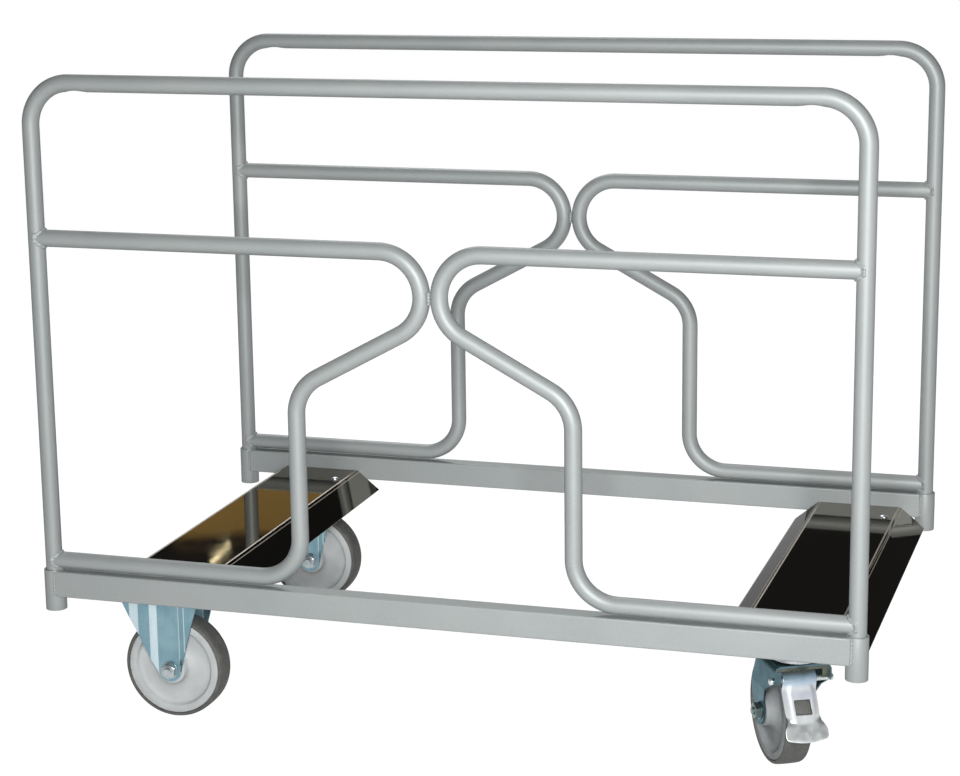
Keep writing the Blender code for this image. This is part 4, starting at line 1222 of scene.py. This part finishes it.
# %% Swivel head masters
cup_master = turned([
    (0.0067, 0.2004), (0.0340, 0.2004), (0.0362, 0.1999), (0.0378, 0.1988), (0.0387, 0.1972),
    (0.0390, 0.1952), (0.0388, 0.1850), (0.0381, 0.1812), (0.0371, 0.1794), (0.0360, 0.1790),
    (0.0352, 0.1796), (0.0350, 0.1810), (0.0350, 0.1958), (0.0344, 0.1964), (0.0067, 0.1964),
], 80)
cone_master = turned([
    (0.0067, 0.1958), (0.0280, 0.1958), (0.0305, 0.1950), (0.0318, 0.1936), (0.0320, 0.1918),
    (0.0320, 0.1815), (0.0312, 0.1795), (0.0290, 0.1775), (0.0262, 0.1765), (0.0067, 0.1763),
], 72)
kingpin_master = turned([
    (0, 0.2049), (0.0054, 0.2049), (0.0060, 0.2043), (0.0060, 0.1727), (0.0085, 0.1727),
    (0.0095, 0.1719), (0.0094, 0.1692), (0.0078, 0.1674), (0.0050, 0.1667), (0, 0.1667),
], 40)
print("swivel head masters made")

# %% [markdown]
# The brake pedal is a strip of sheet: curled round its pin at the top, then a straight shank with a square
# window, and a flared tip for the toe. Its long sides are rolled back, so that it is stiff, and the roll
# fades out at the tip. The strip is extruded flat in rows and columns, because each row can then be given
# its own width and its own roll.

# %% Pedal master
PEDAL_SHEET = 0.0022
PEDAL_COLUMNS = 40
PEDAL_ROLL = math.radians(72)
PEDAL_ROLL_LENGTH = 0.0130
PEDAL_FLANGE = 0.0020
PEDAL_TOE_ARCH = 0.0045
PEDAL_ROWS = [
    (0.0125, 0.0246, -0.0052), (0.0086, 0.0247, -0.0055), (0.0000, 0.0249, -0.0058),
    (-0.0080, 0.0247, -0.0052), (-0.0160, 0.0245, -0.0045), (-0.0250, 0.0244, -0.0035),
    (-0.0350, 0.0245, -0.0022), (-0.0450, 0.0241, -0.0010), (-0.0520, 0.0238, -0.0002),
    (-0.0565, 0.0246, 0.0), (-0.0600, 0.0272, 0.0), (-0.0635, 0.0297, 0.0), (-0.0680, 0.0310, 0.0),
    (-0.0740, 0.0313, 0.0), (-0.0780, 0.0310, 0.0), (-0.0812, 0.0302, 0.0), (-0.0825, 0.0285, 0.0),
]


def pedal_row(z):
    """The pedal's half width and its middle at a height under its pin."""
    for (high, *upper), (low, *lower) in zip(PEDAL_ROWS, PEDAL_ROWS[1:]):
        if z >= low:
            share = min(max((z - low) / (high - low), 0), 1)
            return [b + (a - b) * share for a, b in zip(upper, lower)]
    return PEDAL_ROWS[-1][1:]


def between(value, low, high):
    """How far a value has gone from low to high, held between 0 and 1."""
    return min(max((value - low) / (high - low), 0), 1)


def pedal_path():
    """The pedal's centre line on U and Z about its pin, from the curl's lip to the toe."""
    curl_r = 0.0112
    curl = arc((0, 0), curl_r, math.pi * 0.75, -0.12, math.radians(10))
    shank = rounded([curl[-1], (0.0215, -0.058), (0.0350, -0.0825)], 0.014, math.radians(5))
    filled = [shank[0]]
    for point in shank[1:]:
        before = Vector(filled[-1])
        run = Vector(point) - before
        steps = max(1, round(run.length / 0.004))
        filled += [tuple(before + run * (i + 1) / steps) for i in range(steps)]
    return curl[:-1] + filled


def roll_back(path, i, share):
    """Where a point of the flat strip goes, for a share from -1 to 1 across row i."""
    here = Vector(path[i])
    along = (Vector(path[min(i + 1, len(path) - 1)]) - Vector(path[max(i - 1, 0)])).normalized()
    outward = Vector((-along.y, along.x))
    half, middle = pedal_row(here.y)
    fade = between(here.y, -0.060, -0.048) * between(here.y, 0.002, -0.012) * between(here.x, 0.0, 0.010)
    roll = max(PEDAL_ROLL * fade, 0.01)
    roll_r = PEDAL_ROLL_LENGTH / roll
    flat = half - roll_r * math.sin(roll) - PEDAL_FLANGE * math.cos(roll)
    out = abs(share)
    turned_by = roll * between(out, 0.5, 0.9)
    beyond = PEDAL_FLANGE * between(out, 0.9, 1.0)
    across = flat * min(out / 0.5, 1) + roll_r * math.sin(turned_by) + beyond * math.cos(roll)
    back = roll_r * (1 - math.cos(turned_by)) + beyond * math.sin(roll)
    lift = PEDAL_TOE_ARCH * share ** 2 * between(here.y, -0.064, -0.0825)
    place = here - outward * back - along * lift
    return Vector((place.x, middle + math.copysign(across, share), place.y))


def make_pedal_master():
    """The pedal about its pin: a strip with rolled sides, given its thickness and its window."""
    path = pedal_path()
    pedal = wire([(u, -1, z) for u, z in path], closed=False)
    for _ in range(PEDAL_COLUMNS):
        bpy.ops.mesh.extrude_region_move(TRANSFORM_OT_translate={"value": (0, 2 / PEDAL_COLUMNS, 0)})
    set_down()
    for vertex in pedal.data.vertices:
        gaps = [(Vector((vertex.co.x, vertex.co.z)) - Vector(p)).length for p in path]
        vertex.co = roll_back(path, gaps.index(min(gaps)), vertex.co.y)
    close_shell(pedal)
    apply_modifier(pedal, "SOLIDIFY", thickness=PEDAL_SHEET, offset=0, use_even_offset=True)
    window = rounded(
        [(-0.0135, -0.0462), (0.0112, -0.0467), (0.0077, -0.0248), (-0.0165, -0.0242)], 0.0016, closed=True
    )
    carve(pedal, prism([(0.0, v, z) for v, z in window], (0.1, 0, 0)))
    soften(pedal, 0.0006, 2, 50)
    return pedal


pedal_master = make_pedal_master()
print("pedal faces:", len(pedal_master.data.polygons))

# %% Pin and shoe masters
pin_master = turned([
    (0, 0.0476), (0.0030, 0.0476), (0.0042, 0.0470), (0.0050, 0.0456), (0.0051, 0.0432), (0.0040, 0.0430),
    (0.0040, -0.0430), (0.0051, -0.0432), (0.0050, -0.0456), (0.0042, -0.0470), (0.0030, -0.0476),
    (0, -0.0476),
], 40)
lay_on_axle(pin_master)


def make_shoe_master():
    """The shoe about the pedal's pin: a cam on the pin with a toothed toe towards the tyre."""
    to_wheel = Vector((-TRAIL - PIN_U, AXLE_Z - PIN_Z))
    reach = to_wheel.length - 0.0816
    toward = to_wheel.normalized()
    across = Vector((-toward.y, toward.x)) * 0.0065
    start = math.atan2(across.y, across.x)
    toe = toward * reach
    cam = arc((0, 0), 0.0071, start - math.pi, start, math.radians(10))
    teeth = []
    for i in range(6):
        side = across * (0.5 - i / 5)
        teeth.append(tuple(toe + side - (toward * 0.0012 if i % 2 else Vector((0, 0)))))
    outline = cam + teeth
    shoe = prism([(u, -0.017, z) for u, z in outline], (0, 0.034, 0))
    carve(shoe, rod(0.0044, -0.1, 0.1, (0, 0, 0), "Y"))
    soften(shoe, 0.0004, 2, 50)
    return shoe


shoe_master = make_shoe_master()
print("brake masters made")

# %% Set the swivel casters
for side, way in (("front", -1), ("rear", 1)):
    name = f"{side}_right"
    carrier, brake = f"{name}_caster", f"{name}_brake"
    centre = Vector((SWIVEL_X, way * CASTER_Y, 0))
    heading = way * SWIVEL_HEADING
    toward_pedal = Vector((math.cos(heading), math.sin(heading), 0))
    plate = copy_to(plate_master, centre)
    carve(plate, rod(KINGPIN_HOLE_R, 0.1, 0.3, centre))
    hand_over(plate, f"{name}_bolted_plate", zinc_plate, "base", f"{name}_plate")
    # Painted shade: the fork, shoe, cone, front wall, nut, bolt and wheel core here take darker copies of
    # their finishes.
    hand_copy(cup_master, centre, 0.0, name, "swivel_cup", pale_zinc, "base", "race_cup")
    hand_copy(cone_master, centre, heading, name, "swivel_cone", shade_darkened_olive_zinc, carrier, "race_cone")
    hand_copy(kingpin_master, centre, heading, name, "swivel_pin", bright_steel, carrier, "kingpin")
    hand_copy(
        swivel_fork_master, centre, heading, name, "pressed_fork", shade_darkened_zinc, carrier, "fork", flats=True
    )
    hand_copy(fork_front_master, centre, heading, name, "fork_front", shade_darkened_olive_zinc, carrier, flats=True)
    set_wheel(name, centre - toward_pedal * TRAIL, heading, carrier, shade_dulled_steel, shade_dulled_plastic)
    pivot = centre + toward_pedal * PIN_U + Vector((0, 0, PIN_Z))
    hand_copy(pin_master, pivot, heading, name, "pivot_pin", bright_steel, carrier, "pedal_pin")
    hand_copy(pedal_master, pivot, heading, name, "toe_pedal", pedal_steel, brake, "pedal")
    hand_copy(shoe_master, pivot, heading, name, "toothed_shoe", shade_darkened_zinc, brake, "brake_shoe")

for master in (
    core_master, tyre_master, nut_master, bolt_master, plate_master, swivel_fork_master, fork_front_master,
    cup_master, cone_master, kingpin_master, pedal_master, pin_master, shoe_master,
):
    bpy.data.objects.remove(master, do_unlink=True)
print("swivel casters set")

# %% [markdown]
# ## Studio
#
# The front is lit by a small panel beside the camera, as it is with a flash. Other panels light the cart
# from the right, from above and from high behind, and the grey surround darkens behind the cart. Two small
# warm lamps stand where the left tray mirrors them. The floor gives its own light only to the camera and
# to reflections, so it looks white without lighting the cart, and it keeps the cart's soft shadow.

# %% Floor
FLOOR_SIZE = 400.0
FLOOR_SHARE = 0.7
FLOOR_GLOW = 1.42


def make_floor():
    """A pale floor that the camera and the reflections see as white, with the cart's soft shadow."""
    set_down()
    bpy.ops.mesh.primitive_plane_add(size=FLOOR_SIZE, location=(0, 0, 0))
    floor = bpy.context.object
    floor.name = "studio_floor"
    pale = bpy.data.materials.new("pale_floor")
    pale.use_nodes = True
    nodes, links = pale.node_tree.nodes, pale.node_tree.links
    shader = nodes["Principled BSDF"]
    shader.inputs["Base Color"].default_value = (0.3, 0.3, 0.3, 1)
    shader.inputs["Roughness"].default_value = 0.9
    shader.inputs["Specular IOR Level"].default_value = 0.0
    glow = nodes.new("ShaderNodeEmission")
    glow.inputs["Color"].default_value = (1, 1, 1, 1)
    glow.inputs["Strength"].default_value = FLOOR_GLOW
    light_path = nodes.new("ShaderNodeLightPath")
    seen = light_path.outputs["Is Camera Ray"]
    for ray in ("Is Glossy Ray", "Is Transmission Ray"):
        seen = reckon("MAXIMUM", seen, light_path.outputs[ray])
    mix = nodes.new("ShaderNodeMixShader")
    feed(reckon("MULTIPLY", seen, FLOOR_SHARE), mix, "Fac")
    links.new(shader.outputs["BSDF"], mix.inputs[1])
    links.new(glow.outputs["Emission"], mix.inputs[2])
    links.new(mix.outputs["Shader"], nodes["Material Output"].inputs["Surface"])
    floor.data.materials.append(pale)


make_floor()

# %% World
WORLD_LEVEL = 0.07
BACK_LEVEL = 0.025
BACK_START = 0.5
BACK_FULL = 0.85


def make_world():
    """A plain grey surround that darkens behind the cart."""
    world = bpy.context.scene.world or bpy.data.worlds.new("studio_world")
    bpy.context.scene.world = world
    world.use_nodes = True
    nodes = world.node_tree.nodes
    background = nodes["Background"]
    background.inputs["Color"].default_value = (1, 1, 1, 1)
    way = nodes.new("ShaderNodeTexCoord")
    backward = axis_of(way.outputs["Generated"], "Y")
    feed(spread(backward, WORLD_LEVEL, BACK_LEVEL, BACK_START, BACK_FULL), background, "Strength")


make_world()

# %% Lamps
WHITE = (1.0, 1.0, 1.0)
GOLD = (1.0, 0.62, 0.16)
PALE_GOLD = (1.0, 0.88, 0.55)
CART_MIDDLE = (0.0, 0.0, 0.45)
LAMPS = [
    ("key_panel", (1.10, -3.55, 1.36), (0.25, 0.0, 0.5), 0.7, 0.7, 90, 40, WHITE, 0),
    ("fill_panel", (3.3, -2.6, 0.9), CART_MIDDLE, 2.0, 1.4, 180, 5, WHITE, 0),
    ("top_panel", (0.0, 0.2, 3.6), CART_MIDDLE, 3.0, 3.0, 180, 5, WHITE, 0),
    ("back_panel", (-1.3, 2.9, 3.1), CART_MIDDLE, 1.4, 1.4, 180, 80, WHITE, 0),
    ("wall_panel", (-1.85, 3.4, 1.15), CART_MIDDLE, 0.60, 0.30, 180, 0.22, GOLD, 0),
    ("far_lamp", (-2.01, 3.4, 1.393), CART_MIDDLE, 0.09, 0.012, 180, 0.015, PALE_GOLD, 41),
]

for lamp_name, place, target, wide, tall, beam, power, colour, roll in LAMPS:
    set_down()
    bpy.ops.object.light_add(type="AREA", location=place)
    lamp = bpy.context.object
    lamp.name = lamp_name
    lamp.data.shape = "RECTANGLE"
    lamp.data.size = wide
    lamp.data.size_y = tall
    lamp.data.spread = math.radians(beam)
    lamp.data.energy = power
    lamp.data.color = colour
    aim = (Vector(target) - Vector(place)).to_track_quat("-Z", "Y")
    aim = aim @ Quaternion((0, 0, 1), math.radians(roll))
    lamp.rotation_euler = aim.to_euler()
print("lamps:", [row[0] for row in LAMPS])

# %% [markdown]
# ## Last step
#
# The looks must not change the cart's size. This last cell only puts everything down.

# %% Last step
set_down()
